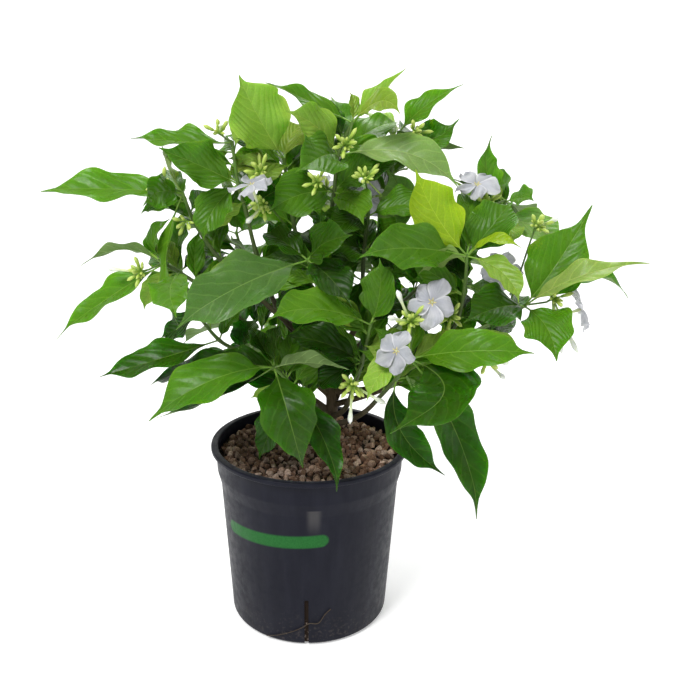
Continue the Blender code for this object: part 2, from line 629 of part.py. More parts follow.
def wall_radius(z):
    """Outer radius of the pot below its lip."""
    heights, radii = zip((0, POT_BASE_RADIUS), (POT_STEP_Z, POT_STEP_RADIUS),
                         (POT_COLLAR_FOOT_Z, POT_COLLAR_FOOT_RADIUS), (POT_HEIGHT, POT_COLLAR_RADIUS))
    return float(np.interp(z, heights, radii))


def pot_solid():
    """The pot's wall, lip and floor, before its slits are cut."""
    lip_foot = POT_HEIGHT - POT_LIP_HEIGHT
    inside = [(wall_radius(z) - POT_WALL, z) for z in (POT_HEIGHT, POT_COLLAR_FOOT_Z, POT_STEP_Z, POT_FLOOR)]
    return turned_solid([
        (0, 0), (POT_BASE_RADIUS - POT_BASE_ROUND, 0), (wall_radius(POT_BASE_ROUND), POT_BASE_ROUND),
        (POT_STEP_RADIUS, POT_STEP_Z), (POT_COLLAR_FOOT_RADIUS, POT_COLLAR_FOOT_Z),
        (wall_radius(lip_foot), lip_foot), (POT_LIP_RADIUS, lip_foot),
        (POT_LIP_RADIUS, POT_HEIGHT - POT_LIP_ROUND), (POT_LIP_RADIUS - POT_LIP_ROUND, POT_HEIGHT),
        *inside, (0, POT_FLOOR)])


def box(low, high):
    """A box between two corners, as vertices and faces."""
    vertices = [Vector((x, y, z)) for z in (low[2], high[2]) for y in (low[1], high[1])
                for x in (low[0], high[0])]
    return vertices, [(0, 2, 3, 1), (4, 5, 7, 6), (0, 1, 5, 4), (2, 6, 7, 3), (0, 4, 6, 2), (1, 3, 7, 5)]


def slit_cutters():
    """The drain slits up the wall and the shallow arches in its foot."""
    cutters = []
    slit, notch = (SLIT_WIDTH, SLIT_HEIGHT, SLIT_REACH), (NOTCH_WIDTH, NOTCH_HEIGHT, NOTCH_REACH)
    for width, height, reach in (slit, notch):
        vertices, faces = box((-width / 2, -POT_LIP_RADIUS, -CUT_MARGIN),
                              (width / 2, reach - POT_BASE_RADIUS, height))
        for k in range(SLIT_COUNT):
            turn = Quaternion((0, 0, 1), 2 * math.pi * k / SLIT_COUNT)
            cutters.append(([turn @ point for point in vertices], faces))
    return cutters


def medium_solid():
    """The filling of the pot, with a top of lumpy granules."""
    inside = [(wall_radius(z) - POT_WALL - GAP, z) for z in (POT_STEP_Z, MEDIUM_TOP)]
    floor = POT_FLOOR + GAP
    profile = [(0, floor), (wall_radius(floor) - POT_WALL - GAP, floor), *inside]
    profile += [(radius, MEDIUM_TOP) for radius in reversed(MEDIUM_RINGS)] + [(0, MEDIUM_TOP)]
    vertices, faces = turned_solid(profile)
    for vertex in vertices:
        if vertex.z == MEDIUM_TOP:
            vertex.z += granule_relief(vertex)
    return vertices, faces


def granule_relief(point):
    """Height of the medium's top over its mean level: rounded grains with gaps between them."""
    near, next_near = noise.voronoi(point / GRANULE_SIZE)[0][:2]
    return GRANULE_RELIEF * (min(1.0, 3 * (next_near - near)) - 0.5)


def root_solid():
    """The root that has come out of the front slit and lies along the wall."""
    reach = GAP + 2 * ROOT_RADIUS
    path = []
    for degrees, z in ROOT_PATH:
        turn, radius = math.radians(degrees), wall_radius(z) + reach
        path.append(Vector((radius * math.sin(turn), -radius * math.cos(turn), z)))
    return tube(path, tapered(path, ROOT_RADIUS * 0.7, ROOT_RADIUS), ROOT_SIDES)


def stem_line(shoot):
    """Points along the stem of a shoot."""
    return [place(*spot) for spot in shoot.stem]


def branch_solid(shoot):
    """The woody branch from the trunk to the foot of a shoot."""
    stem = stem_line(shoot)
    aim = (stem[1] - stem[0]).normalized()
    start, end = stem_point(TRUNK, shoot.fork, BRANCH_END_SEAT), stem[0] - aim * GAP
    seat = end - aim * BRANCH_END
    control = seat - aim * STALK_BEND * (seat - start).length
    start = start + (control - start).normalized() * BRANCH_SEAT
    points = bent(start, control, seat, 2) + [end]
    return tube(points, tapered(points, BRANCH_RADIUS * BRANCH_FLARE, STEM_RADIUS), BRANCH_SIDES)


def peduncle_curve(shoot, cyme):
    """The stalk from a joint of the stem to its bud cluster, and its direction at its end."""
    start, hub = stem_line(shoot)[cyme.joint], place(*cyme.hub)
    aim = (hub - start).normalized().lerp(Vector(cyme.aim).normalized(), PEDUNCLE_TURN).normalized()
    return [start, hub - aim * PEDUNCLE_END, hub], aim


def bud_tips(cyme, hub):
    """Tips of the short buds, fanned about the cluster's aim by the golden angle."""
    mean = Vector(cyme.aim).normalized()
    side = across_to(Vector((0.2, 0.3, 0.9)), mean)
    tips = []
    for k in range(cyme.buds):
        lean = math.radians(np.interp(math.sqrt(k / cyme.buds), (0, 1), BUD_LEANS))
        out = Quaternion(mean, BUD_TURN * k) @ side
        length = BUD_LENGTHS[k % len(BUD_LENGTHS)]
        tips.append(hub + (mean * math.cos(lean) + out * math.sin(lean)) * length)
    return tips


def bloom_foot(bloom):
    """Where a bloom's tube starts, and the direction that it faces."""
    _, centre, facing, size = bloom
    facing = Vector(facing).normalized()
    return place(*centre) - facing * BLOOM_TUBE * size, facing


def drawn_out(solid, points, radii):
    """The solid with its face that looks most towards points drawn out along them."""
    vertices, faces = solid
    toward = (points[0] - sum(vertices[:BALL_CORNERS], Vector()) / BALL_CORNERS).normalized()
    face = max((face for face in faces if max(face) < BALL_CORNERS),
               key=lambda face: face_aim(vertices, face).dot(toward))
    faces.remove(face)
    middle = sum((vertices[k] for k in face), Vector()) / 3
    spokes = [vertices[k] - middle for k in face]
    aim, ring = face_aim(vertices, face), list(face)
    path = [middle, *points]
    for i, radius in enumerate(radii, 1):
        new_aim = (path[min(i + 1, len(path) - 1)] - path[i - 1]).normalized()
        spokes = [across_to(aim.rotation_difference(new_aim) @ spoke, new_aim) for spoke in spokes]
        aim = new_aim
        first = len(vertices)
        vertices += [path[i] + spoke * radius for spoke in spokes]
        for k in range(3):
            a, b, c, d = ring[k], ring[(k + 1) % 3], first + (k + 1) % 3, first + k
            faces += [(a, b, c), (a, c, d)]
        ring = [first, first + 1, first + 2]
    faces.append(tuple(ring))


def face_aim(vertices, face):
    """Outward direction of a triangle."""
    a, b, c = (vertices[k] for k in face)
    return (b - a).cross(c - a).normalized()


def ball(centre, radius):
    """A ball of 20 triangles."""
    mesh = bmesh.new()
    bmesh.ops.create_icosphere(mesh, subdivisions=1, radius=radius)
    vertices = [centre + vertex.co for vertex in mesh.verts]
    faces = [tuple(vertex.index for vertex in face.verts) for face in mesh.faces]
    mesh.free()
    return vertices, faces


def cyme_solid(cyme, end, aim):
    """A bud cluster drawn out of one small ball: its stalk, buds and the blooms' stalks."""
    foot = end + aim * GAP
    hub = foot + aim * HUB_STALK
    solid = ball(hub, HUB_RADIUS)
    drawn_out(solid, [foot.lerp(hub, 0.4), foot], [PEDUNCLE_RADIUS, PEDUNCLE_RADIUS])
    for bloom in cyme.blooms:
        bloom_end, facing = bloom_foot(bloom)
        seat = bloom_end - facing * (GAP + PEDUNCLE_END)
        bow = seat - facing * STALK_BEND * (seat - hub).length
        first = hub + (bow - hub).normalized() * 2 * HUB_RADIUS
        path = [first, bow.lerp(seat, STALK_CURVE_SHARE), seat, bloom_end - facing * GAP]
        drawn_out(solid, path, [BUD_TUBE_RADIUS] * len(path))
    for tip in (place(*spot) for spot in cyme.tubes):
        drawn_out(solid, [hub.lerp(tip, TUBE_NECK_SHARE), hub.lerp(tip, TUBE_HEAD_SHARE), tip],
                  [BUD_TUBE_RADIUS, BUD_HEAD_RADIUS, BUD_TIP_RADIUS])
    for tip in bud_tips(cyme, hub):
        drawn_out(solid, [hub.lerp(tip, BUD_HEAD_SHARE), tip], [BUD_HEAD_RADIUS, BUD_TIP_RADIUS])
    return solid


def corolla_solid(centre, facing, size):
    """Five slanting petals in one thin plate, like a pinwheel."""
    side = across_to(Vector((0.3, 0.1, 0.9)), facing)

    def spot(petal, distance, degrees, lift):
        out = Quaternion(facing, 2 * math.pi * petal / PETALS + math.radians(degrees)) @ side
        return centre + (out * distance + facing * lift) * size

    edge = [spot(petal, *row) for petal in range(PETALS) for row in PETAL_EDGE]
    middles = [spot(petal, *PETAL_MIDDLE) for petal in range(PETALS)]
    top = [centre, *middles, *edge]
    under = [point - facing * PETAL_THICKNESS for point in top]
    rim, rows, half = 1 + PETALS, len(PETAL_EDGE), len(top)
    faces = []
    for petal in range(PETALS):
        middle = 1 + petal
        ring = [rim + (petal * rows + row) % (PETALS * rows) for row in range(rows + 1)]
        skin = [(middle, a, b) for a, b in zip(ring, ring[1:])]
        skin += [(0, ring[0], middle), (0, middle, ring[-1])]
        faces += skin + [(c + half, b + half, a + half) for a, b, c in skin]
        for a, b in zip(ring, ring[1:]):
            faces += [(b, a, a + half), (b, a + half, b + half)]
    return top + under, faces


def bloom_solids(bloom):
    """A pinwheel flower: a slender tube that opens into the petals."""
    foot, facing = bloom_foot(bloom)
    size = bloom[3]
    centre = foot + facing * BLOOM_TUBE * size
    stem = tube([foot, centre - facing * BLOOM_FLARE, centre - facing * PETAL_THICKNESS / 2],
                [BLOOM_FOOT_RADIUS, BLOOM_TUBE_RADIUS, BLOOM_MOUTH_RADIUS], BLOOM_SIDES)
    return [stem, corolla_solid(centre, facing, size)]


def new_material(name, colour, roughness, sheen=0.0):
    """A Principled material."""
    made = bpy.data.materials.new(name)
    made.use_nodes = True
    shader = made.node_tree.nodes["Principled BSDF"]
    shader.inputs["Base Color"].default_value = (*colour, 1)
    shader.inputs["Roughness"].default_value = roughness
    shader.inputs["Coat Weight"].default_value = sheen
    made.diffuse_color = (*colour, 1)
    return made


def new_object(name, solid, collection=None):
    """An object from vertices and faces."""
    mesh = bpy.data.meshes.new(name)
    mesh.from_pydata([tuple(point) for point in solid[0]], [], solid[1])
    body = bpy.data.objects.new(name, mesh)
    (collection or bpy.context.scene.collection).objects.link(body)
    return body


def cut_or_join(body, solids, operation, solver="EXACT"):
    """One Boolean of the body with several solids, applied."""
    helpers = bpy.data.collections.new(body.name + "_helpers")
    bpy.context.scene.collection.children.link(helpers)
    for index, solid in enumerate(solids):
        helper = new_object(f"{body.name}_helper_{index}", solid, helpers)
        helper.hide_render = True
        helper.display_type = "WIRE"
    boolean = body.modifiers.new(operation.lower(), "BOOLEAN")
    boolean.operation = operation
    boolean.operand_type = "COLLECTION"
    boolean.collection = helpers
    boolean.solver = solver
    evaluated = body.evaluated_get(bpy.context.evaluated_depsgraph_get())
    joined = bpy.data.meshes.new_from_object(evaluated)
    body.modifiers.clear()
    body.data = joined
    for helper in list(helpers.objects):
        bpy.data.objects.remove(helper)
    bpy.data.collections.remove(helpers)


def fused(name, solids, material):
    """One closed solid from several that overlap."""
    body = new_object(name, solids[0])
    if len(solids) > 1:
        cut_or_join(body, solids[1:], "UNION", "MANIFOLD")
    body.data.materials.clear()
    body.data.materials.append(material)
    return body


def grown_shoots(thicket):
    """Each shoot's solids, with every leaf bent clear of what is already there."""
    stems = {}
    for shoot in SHOOTS:
        line = stem_line(shoot)
        solids = [tube(line, tapered(line, STEM_RADIUS, STEM_TIP_RADIUS), STEM_SIDES)]
        for cyme in shoot.cymes:
            points, aim = peduncle_curve(shoot, cyme)
            solids.append(tube(points, [PEDUNCLE_RADIUS] * len(points), PEDUNCLE_SIDES))
        for solid in solids:
            thicket.add(shoot.name, solid)
        stems[shoot.name] = solids
    for shoot in SHOOTS:
        line = stem_line(shoot)
        for leaf in shoot.leaves:
            bent_leaf = bend_clear(leaf, line, shoot.name, thicket)
            solid = leaf_solid(bent_leaf, line)
            thicket.add(shoot.name, solid, blade_solid(bent_leaf, line))
            stems[shoot.name].append(solid)
    return stems


def build():
    """Clear the file and make every part of the plant and its pot."""
    for old in list(bpy.data.objects):
        bpy.data.objects.remove(old)
    pot_plastic = new_material("pot_plastic", (0.028, 0.028, 0.036), 0.38)
    granules = new_material("granules", (0.13, 0.085, 0.060), 0.95)
    bark = new_material("bark", (0.24, 0.17, 0.10), 0.85)
    root = new_material("root", (0.20, 0.11, 0.05), 0.80)
    leaf_green = new_material("leaf_green", (0.055, 0.190, 0.018), 0.38, 0.2)
    bud_green = new_material("bud_green", (0.42, 0.52, 0.14), 0.50)
    petal_white = new_material("petal_white", (0.80, 0.79, 0.86), 0.55)

    thicket = Thicket()
    pot = fused("pot", [pot_solid()], pot_plastic)
    cut_or_join(pot, slit_cutters(), "DIFFERENCE")
    medium = fused("growing_medium", [medium_solid()], granules)
    hole_path = [TRUNK[0] - Vector((0, 0, GAP)), *TRUNK[1:3]]
    cut_or_join(medium, [tube(hole_path, [TRUNK_RADII[0] + 2 * GAP] * 3, TRUNK_SIDES)], "DIFFERENCE")
    fused("escaped_root", [root_solid()], root)
    thicket.add("pot", pot_solid())
    thicket.add("growing_medium", medium_solid())

    wood = [tube(TRUNK, TRUNK_RADII, TRUNK_SIDES)] + [branch_solid(shoot) for shoot in SHOOTS]
    fused("woody_frame", wood, bark)
    for solid in wood:
        thicket.add("woody_frame", solid)

    for shoot in SHOOTS:
        for cyme in shoot.cymes:
            points, aim = peduncle_curve(shoot, cyme)
            solid = cyme_solid(cyme, points[-1], aim)
            fused("buds_" + cyme.name, [solid], bud_green)
            thicket.add("buds_" + cyme.name, solid)
            for bloom in cyme.blooms:
                petals = bloom_solids(bloom)
                fused("bloom_" + bloom[0], petals, petal_white)
                for solid in petals:
                    thicket.add("bloom_" + bloom[0], solid)
    for name, solids in grown_shoots(thicket).items():
        fused("shoot_" + name, solids, leaf_green)


build()
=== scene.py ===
"""The looks of a potted pinwheel jasmine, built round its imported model.

Metres, +Z up, in the model's own frame. Each leafy shoot, bud cluster and flower is
made again on the lines of its plain solid, with veins, waved margins and drawn-out tips.
"""

import math
from dataclasses import dataclass, replace

import bmesh
import bpy
import numpy as np
from mathutils import Matrix, Quaternion, Vector
from mathutils.bvhtree import BVHTree
from mathutils.kdtree import KDTree


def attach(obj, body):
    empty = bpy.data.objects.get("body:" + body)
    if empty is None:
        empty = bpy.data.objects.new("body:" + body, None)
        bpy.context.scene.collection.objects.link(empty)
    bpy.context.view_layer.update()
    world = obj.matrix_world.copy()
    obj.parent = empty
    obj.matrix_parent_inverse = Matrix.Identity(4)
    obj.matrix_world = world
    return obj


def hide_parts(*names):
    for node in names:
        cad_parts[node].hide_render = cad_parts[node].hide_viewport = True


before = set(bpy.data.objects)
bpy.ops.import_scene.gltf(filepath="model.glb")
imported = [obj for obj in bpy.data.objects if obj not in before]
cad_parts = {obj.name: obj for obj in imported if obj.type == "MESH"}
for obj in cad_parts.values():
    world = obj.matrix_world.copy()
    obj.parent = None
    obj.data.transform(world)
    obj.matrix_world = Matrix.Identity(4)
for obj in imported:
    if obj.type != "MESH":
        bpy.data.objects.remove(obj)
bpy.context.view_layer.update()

MM = 0.001
GAP = 0.0003  # clearance between neighbouring solids in the model

# Front view that the plant's places are read from, 675 units square. A place in
# it is (across, down, depth), with the depth in millimetres behind the pot's axis.
VIEW_SIZE = 675
VIEW_MIDDLE = 337.5
VIEW_FOCAL = 812.0
VIEW_EYE = Vector((0.027, -0.767, 0.5205))
VIEW_DIP = math.radians(16.43)
VIEW_ROLL = math.radians(0.7)
VIEW_AHEAD = Vector((0, math.cos(VIEW_DIP), -math.sin(VIEW_DIP)))
VIEW_LEVEL = Vector((1, 0, 0))
VIEW_RISE = Vector((0, math.sin(VIEW_DIP), math.cos(VIEW_DIP)))
VIEW_RIGHT = VIEW_LEVEL * math.cos(VIEW_ROLL) + VIEW_RISE * math.sin(VIEW_ROLL)
VIEW_UP = VIEW_RISE * math.cos(VIEW_ROLL) - VIEW_LEVEL * math.sin(VIEW_ROLL)

# Pot
POT_HEIGHT = 0.185
POT_LIP_RADIUS = 0.100
POT_LIP_HEIGHT = 0.0045
POT_LIP_ROUND = 0.0014
POT_COLLAR_RADIUS = 0.0950  # just under the lip
POT_COLLAR_FOOT_RADIUS = 0.0943
POT_COLLAR_FOOT_Z = 0.160  # the collar ends here and slopes in
POT_STEP_RADIUS = 0.0906
POT_STEP_Z = 0.1457
POT_BASE_RADIUS = 0.0813
POT_BASE_ROUND = 0.003
POT_WALL = 0.0018
POT_FLOOR = 0.0025
POT_SIDES = 160
POT_SHARP = 35  # degrees from which an edge stays sharp
CORNER_SHARE = 0.45  # of a side of the profile, the most that one rounded corner takes up
CORNER_STEPS = 4
SLIT_COUNT = 4
DRAIN_CUTS = (  # (width, top, reach into the pot, depth below it) of a slit and of its shallow arch
    (0.004, 0.053, 0.012, 0.001), (0.034, 0.0012, 0.009, 0.002),
)
BAND_HEIGHT = 0.1191  # middle of the plain green band, at the pot's front
BAND_CLIMB = 0.00011  # and its rise for each degree round the pot
BAND_HALF = 0.0078
BAND_SOFT = 0.0026
BAND_TURNS = (-56, 9)  # degrees round the pot from its front
SHEEN_PATCH_TURN = 4.6  # middle of the paler patch under the collar, a painted highlight
SHEEN_PATCH_EDGE = (1.5, 5.5)  # degrees to both sides over which it fades
SHEEN_PATCH_HEIGHTS = (0.122, 0.146)  # over which it comes up
SHEEN_PATCH_TOP = 0.1535

# Growing medium
MEDIUM_TOP = 0.1765
MEDIUM_RADIUS = 0.0926
GRANULE_PITCH = 0.0076
GRANULE_SIZES = (0.0034, 0.0050)
GRANULE_CUTS = 9
GRANULE_SQUASH = 0.25  # how far its length, width and height may differ
GRANULE_FLATS = (0.42, 0.78)  # of its radius, from its middle to a flat
GRANULE_ROUGHNESS = 0.03
GRANULE_ROWS = 0.87  # from one row to the next, over the pitch
GRANULE_SCATTER = 0.0012
GRANULE_SINK = 0.35  # of its size, below the top
GRANULE_HEIGHTS = (-0.0012, 0.0014)
GRANULE_BROWNS = (
    (0.230, 0.135, 0.085), (0.350, 0.235, 0.170), (0.130, 0.072, 0.045), (0.450, 0.330, 0.260),
)
GRANULE_SHADES = (0.55, 1.30)
GRANULE_SEED = 11
GRANULE_SHARP = 28
LIT_SIDE_GAIN = 1.3  # painted light: by what share the granules on the right are brighter, the left ones kept as in shade
LIT_SIDE_REACH = (-0.02, 0.06)  # over which they grow brighter
TRUNK_CLEARANCE = 0.006
CORE_SINK = 0.003  # of the dark core, below the top
CORE_EDGE_SINK = 0.004
CORE_RINGS = (0.080, 0.04, 0.012)
CORE_SIDES = 64
CORE_TONE = (0.018, 0.011, 0.007)

# Leaf blade: share of the half width along the blade, from its foot to its tip
PLAIN_OUTLINE = (
    (0.00, 0.05), (0.07, 0.26), (0.18, 0.64), (0.32, 0.93), (0.45, 1.00), (0.60, 0.93),
    (0.74, 0.68), (0.85, 0.36), (0.93, 0.13), (1.00, 0.05),
)
PLAIN_STATIONS = (  # of the plain leaves, by the least width in mm that they are for
    (40, (0.21, 0.40, 0.63, 0.86, 1.0)),
    (27, (0.27, 0.54, 0.85, 1.0)),
    (0, (0.34, 0.78, 1.0)),
)
FINE_OUTLINE = (
    (0.00, 0.03), (0.04, 0.14), (0.10, 0.37), (0.18, 0.66), (0.28, 0.89), (0.38, 0.985), (0.48, 1.00),
    (0.58, 0.975), (0.67, 0.89), (0.745, 0.74), (0.80, 0.54), (0.84, 0.33), (0.875, 0.17), (0.93, 0.075),
    (1.00, 0.015),
)
TAILED_OUTLINE = (  # of a leaf whose tip is drawn out into a long tail
    (0.00, 0.03), (0.04, 0.13), (0.10, 0.36), (0.18, 0.66), (0.28, 0.91), (0.38, 0.99), (0.46, 0.95),
    (0.56, 0.83), (0.64, 0.65), (0.70, 0.47), (0.76, 0.28), (0.82, 0.15), (0.89, 0.085), (0.95, 0.05),
    (1.00, 0.015),
)
PETIOLE_SHARE = 0.10  # of the leaf's length
PETIOLE_HALF_WIDTH = 0.0010
PETIOLE_SEAT = 0.0009  # from the stem's axis to the sunk end of the petiole
PETIOLE_END_SEAT = 0.0016  # in from the end of the stem, for a leaf at its end
BOW_OUT, BOW_UP = 0.6, 0.8  # parts of a midrib's bow away from the pot's axis and upward
BLADE_THICKNESS = 0.0008
BLADE_FOLD = math.radians(17)  # each half rises this much from the midrib
BLADE_WAVES = 2.5
BLADE_WAVE_LEAD = 0.8  # radians that one margin's waves run ahead, and the other's behind
BLADE_WAVE_SHARE = 0.055  # wave height over the leaf's width
BEND_STEPS = (0, -7, 7, -14, 14, -21, 21, -28, 28, -36, 36, -44, 44)
ROLL_STEPS = (0, 15, -15, 30, -30)
BEND_SHARE = 0.6  # of a bend of the tip that the middle of the midrib takes
MATCH_LIMIT = 0.0004  # metres by which the points of a plain margin may miss the model in all
FINE_WAVE_SHARE = 0.100
MARGIN_WAVE_SHARE = 0.06
MARGIN_WAVES = 3.6
MARGIN_FADE = (0.7, 0.9)  # share of the blade over which its margin grows straight
FOLD_CURVE = 1.3  # above 1 a half is flatter by the midrib
DROOP_SHARE = 0.035  # how far a tip hangs, over the leaf's length
TIP_REACH = (0.72, 1.05)  # share of the blade over which it starts to hang and curl
LEAF_TONE_VARIETY = 0.10
LEAF_SHARP = 55
PETIOLE_STATIONS = 5
LEAF_STATIONS = 36
LEAF_COLUMNS = (0.0, 0.035, 0.10, 0.22, 0.38, 0.55, 0.72, 0.87, 1.0)
HOOK_SHARE = 0.045  # how far a tip may curl sideways, over the leaf's length
RIPPLES = 7.0
RIPPLE_SHARE = 0.004
EDGE_THICKNESS = 0.00022
BLADE_SKIN = 0.00045
RIB_DEPTH = 0.0008
RIB_HALF_WIDTH = 0.0009
RIB_FADE = 0.7  # how much flatter the rib is at the tip
GROOVE_DEPTH = 0.0005
PETIOLE_DEPTH = 0.0018
PETIOLE_CREST = 0.6  # its rise over the midrib's line, over its depth under it
BLADE_FOOT = 0.10  # share of the blade over which the petiole turns into it
VEIN_PAIRS = 6.0

# Small leaves that fill the inside of the bush
INNER_SEED = 5
INNER_LENGTHS = (0.080, 0.070, 0.060, 0.052, 0.045)  # the longest in each round
INNER_WIDTH_SHARE = 0.38
INNER_JOINT_STEP = 0.34
INNER_TRIES = 9
INNER_SHORTEST = 0.85  # over the longest of its round
INNER_LEANS = (0.1, 0.7)  # how far it leans along its stem
INNER_DROP = Vector((0, 0, -0.1))
INNER_ROLL = 40
INNER_BOWS = (0.03, 0.16)
INNER_LONGEST_TAIL = 0.6
INNER_TONES = ("mid", "bright", "deep", "mid", "light")
INNER_LOWEST = 0.205
INNER_FURTHEST = 0.185  # from the trunk
INNER_SKY_DEPTH = 0.04  # leaves further back than this face up
INNER_STATIONS = 24
INNER_COLUMNS = (0.0, 0.05, 0.3, 0.65, 1.0)
SHEET_STATIONS = (0.17, 0.28, 0.45, 0.65, 0.82, 0.94, 1.0)  # of a leaf as it is tested for room
OPENINGS = (  # (across, down, radius) of gaps in the bush that they leave open
    (327, 78, 16), (285, 102, 8), (388, 92, 9), (365, 122, 7), (418, 116, 8), (468, 163, 14),
    (216, 124, 12), (176, 160, 10), (212, 184, 7), (155, 227, 10), (238, 232, 8), (258, 234, 9),
    (267, 194, 6), (327, 175, 7), (356, 200, 7), (381, 212, 9), (408, 215, 11), (408, 178, 8),
    (436, 177, 8), (303, 230, 7), (484, 258, 7), (530, 219, 10), (200, 333, 12), (240, 328, 14),
    (166, 312, 12), (396, 388, 8), (395, 322, 6), (425, 320, 6), (518, 260, 11), (486, 279, 10),
    (514, 236, 8),
)

# Stems and the stray root
TUBE_SIDE = Vector((0.31, 0.17, 0.94))  # direction of a tube's first point from its axis
TURN_IN = 0.4  # how far before its end a branch or pedicel turns to it, over its length
TRUNK = (
    Vector((0.021, 0.022, 0.138)), Vector((0.020, 0.018, 0.165)), Vector((0.019, 0.012, 0.192)),
    Vector((0.022, 0.010, 0.216)), Vector((0.020, 0.014, 0.245)), Vector((0.020, 0.018, 0.272)),
)
TRUNK_RADII = (0.0060, 0.0058, 0.0054, 0.0049, 0.0042, 0.0034)
TRUNK_SIDES = 20
TRUNK_STEPS = 8
TRUNK_LOBES = (3, 0.06, 2.0)  # number, depth over the radius, and turn from foot to end
TRUNK_TONE = (0.120, 0.085, 0.050)
KNOT_SWELL = 0.10
KNOT_REACH = 0.18  # in points of the trunk
BRANCH_RADIUS = 0.0026
BRANCH_FLARE = 1.25  # of the radius, where a branch leaves the trunk
BRANCH_END_SEAT = 0.004  # in from the end of the trunk, for a branch at its end
BRANCH_END = 0.004  # straight end that meets the foot of a shoot
BRANCH_LOBES = (3, 0.05, 3.0)
BRANCH_SIDES = 12
BRANCH_STEPS = 12
STEM_RADIUS = 0.0022
STEM_TIP_RADIUS = 0.0015
STEM_SIDES = 12
STEM_STEPS = 6
STEM_FOOT_TONE = (0.045, 0.055, 0.018)
STEM_TIP_TONE = (0.095, 0.210, 0.022)
PEDUNCLE_RADIUS = 0.0009
PEDUNCLE_SIDES = 9
PEDUNCLE_STEPS = 6
PEDUNCLE_TURN = 0.35  # how far its end turns to the aim of the buds
PEDUNCLE_END = 0.003  # straight end of it
JOINT_SWELL = 0.22
JOINT_REACH = 0.0022
ROOT_PATH = (  # (turn in degrees, height) on the wall
    (-29, 0.004), (-20, 0.009), (-10, 0.016), (-3, 0.022), (2, 0.027), (8, 0.027), (12, 0.036), (16, 0.042),
)
ROOT_RADIUS = 0.0005
ROOT_THINNED = 0.6  # of its radius, at its free end
ROOT_KNOTS = (0.15, 1.7)  # depth over the radius, and radians from one point to the next
ROOT_SIDES = 10
ROOT_STEPS = 8
ROOT_TONE = (0.050, 0.036, 0.026)

# Flowers
BUD_SIDE = Vector((0.2, 0.3, 0.9))  # directions of the first bud and the first petal
PETAL_SIDE = Vector((0.3, 0.1, 0.9))
HUB_STALK = 0.005  # from the end of the peduncle to the hub of the buds
BUD_LENGTHS = (0.013, 0.016, 0.019)
BUD_LEANS = (14, 76)  # degrees from the cluster's aim, for its first and last bud
BUD_TURN = math.radians(137.5)  # from one bud to the next
BLOOM_TUBE = 0.018
PETALS = 5
PEDICEL_TONE = (0.250, 0.370, 0.070)
CALYX_TONE = (0.180, 0.330, 0.050)
BUD_STEPS = 14
BUD_SIDES = 15
BUD_LOBES = (5, 0.10, -5.0)
BUD_PROFILE = (  # (share of the way from the hub to the tip, radius)
    (0, 0.0007), (0.36, 0.0008), (0.42, 0.0013), (0.58, 0.0015), (0.74, 0.0019), (0.86, 0.0016), (1, 0.0003),
)
BUD_COLOURS = (
    (0, (0.17, 0.33, 0.04)), (0.4, (0.27, 0.45, 0.05)), (0.6, (0.45, 0.60, 0.09)), (1, (0.58, 0.68, 0.18)),
)
BUD_CALYX_AT = 0.38  # share of the way
YOUNG_SHARE = 1.6  # young buds for each full-grown one
YOUNG_LENGTHS = (0.0065, 0.0095, 0.0080)
YOUNG_LEANS = (20, 105)
YOUNG_TURN = 1.2
YOUNG_PROFILE = ((0, 0.0006), (0.45, 0.0007), (0.52, 0.0012), (0.72, 0.0014), (0.88, 0.0010), (1, 0.0003))
TUBE_PROFILE = (
    (0, 0.0008), (0.18, 0.0009), (0.26, 0.0011), (0.6, 0.0012), (0.72, 0.0016), (0.82, 0.0024),
    (0.91, 0.0023), (0.97, 0.0013), (1, 0.0003),
)
TUBE_COLOURS = (
    (0, (0.22, 0.36, 0.07)), (0.3, (0.50, 0.60, 0.25)), (0.6, (0.70, 0.76, 0.50)), (0.75, (0.85, 0.87, 0.80)),
    (1, (0.90, 0.91, 0.90)),
)
TUBE_BEND = 0.03
TUBE_CALYX_AT = 0.20
CALYX_LENGTH = 0.0030
CALYX_RADIUS = 0.0012  # of a bud's or a bloom's
TUBE_CALYX_RADIUS = 0.0011
CALYX_FOOT = 0.9  # of its radius, at the lobes' feet
CALYX_FLARE = 1.25  # of its radius, at the lobes' tips
CALYX_HALF_WIDTH = 0.75  # of a lobe, over the radius
CALYX_SEAT = 0.0008  # of the lobes' inner corner, above their foot
BLOOM_CALYX_DROP = 0.0012  # of the lobes' feet, below the foot of a bloom
STALK_RADII = (0.0010, 0.0011, 0.0017, 0.0008)
STALK_SIDES = 10
STALK_CAP = 0.0012  # of the stalk, past the hub
PEDICEL_PROFILE = ((0, 0.0009), (0.75, 0.0008), (0.9, 0.0011), (1, 0.0012))
PEDICEL_START = 0.0034  # its first stretch, straight at its bend
PEDICEL_EASE = 0.35  # of the way from its bend to its straight end
PEDICEL_END = 0.003
PEDICEL_SIDES = 8
PEDICEL_STEPS = 4
BLOOM_TUBE_PROFILE = ((0, 0.0010), (0.55, 0.0011), (0.75, 0.0015), (0.93, 0.0012), (1, 0.0006))
BLOOM_TUBE_SIDES = 14
BLOOM_TUBE_STEPS = 12
BLOOM_TUBE_REACH = 0.03  # what its material takes it for: further out than any petal
PETAL_ROWS = 14
PETAL_COLUMNS = 11
PETAL_REACH = 0.0192
PETAL_SKIN = 0.0003
PETAL_LEFT = (  # (share of the way out, degrees from the petal's middle)
    (0, -34), (0.10, -39), (0.25, -43), (0.45, -45), (0.65, -44), (0.80, -41), (0.90, -36),
    (0.96, -30), (1, -20),
)
PETAL_RIGHT = (
    (0, 34), (0.10, 38), (0.25, 38), (0.45, 37), (0.65, 34), (0.80, 30), (0.90, 24), (0.96, 17), (1, 6),
)
PETAL_CUP = 0.0026  # rise of one side over the petal's middle, and fall of the other
PETAL_DROOP = 0.0016
PETAL_DOME = 0.0006
THROAT_SHARE = 0.12  # of the petal that dips into the throat
THROAT_DEPTH = 0.002
PETAL_SKEW = 0.10  # how much longer a petal is on the side that leads its pinwheel
PETAL_RUFFLE = 0.0023
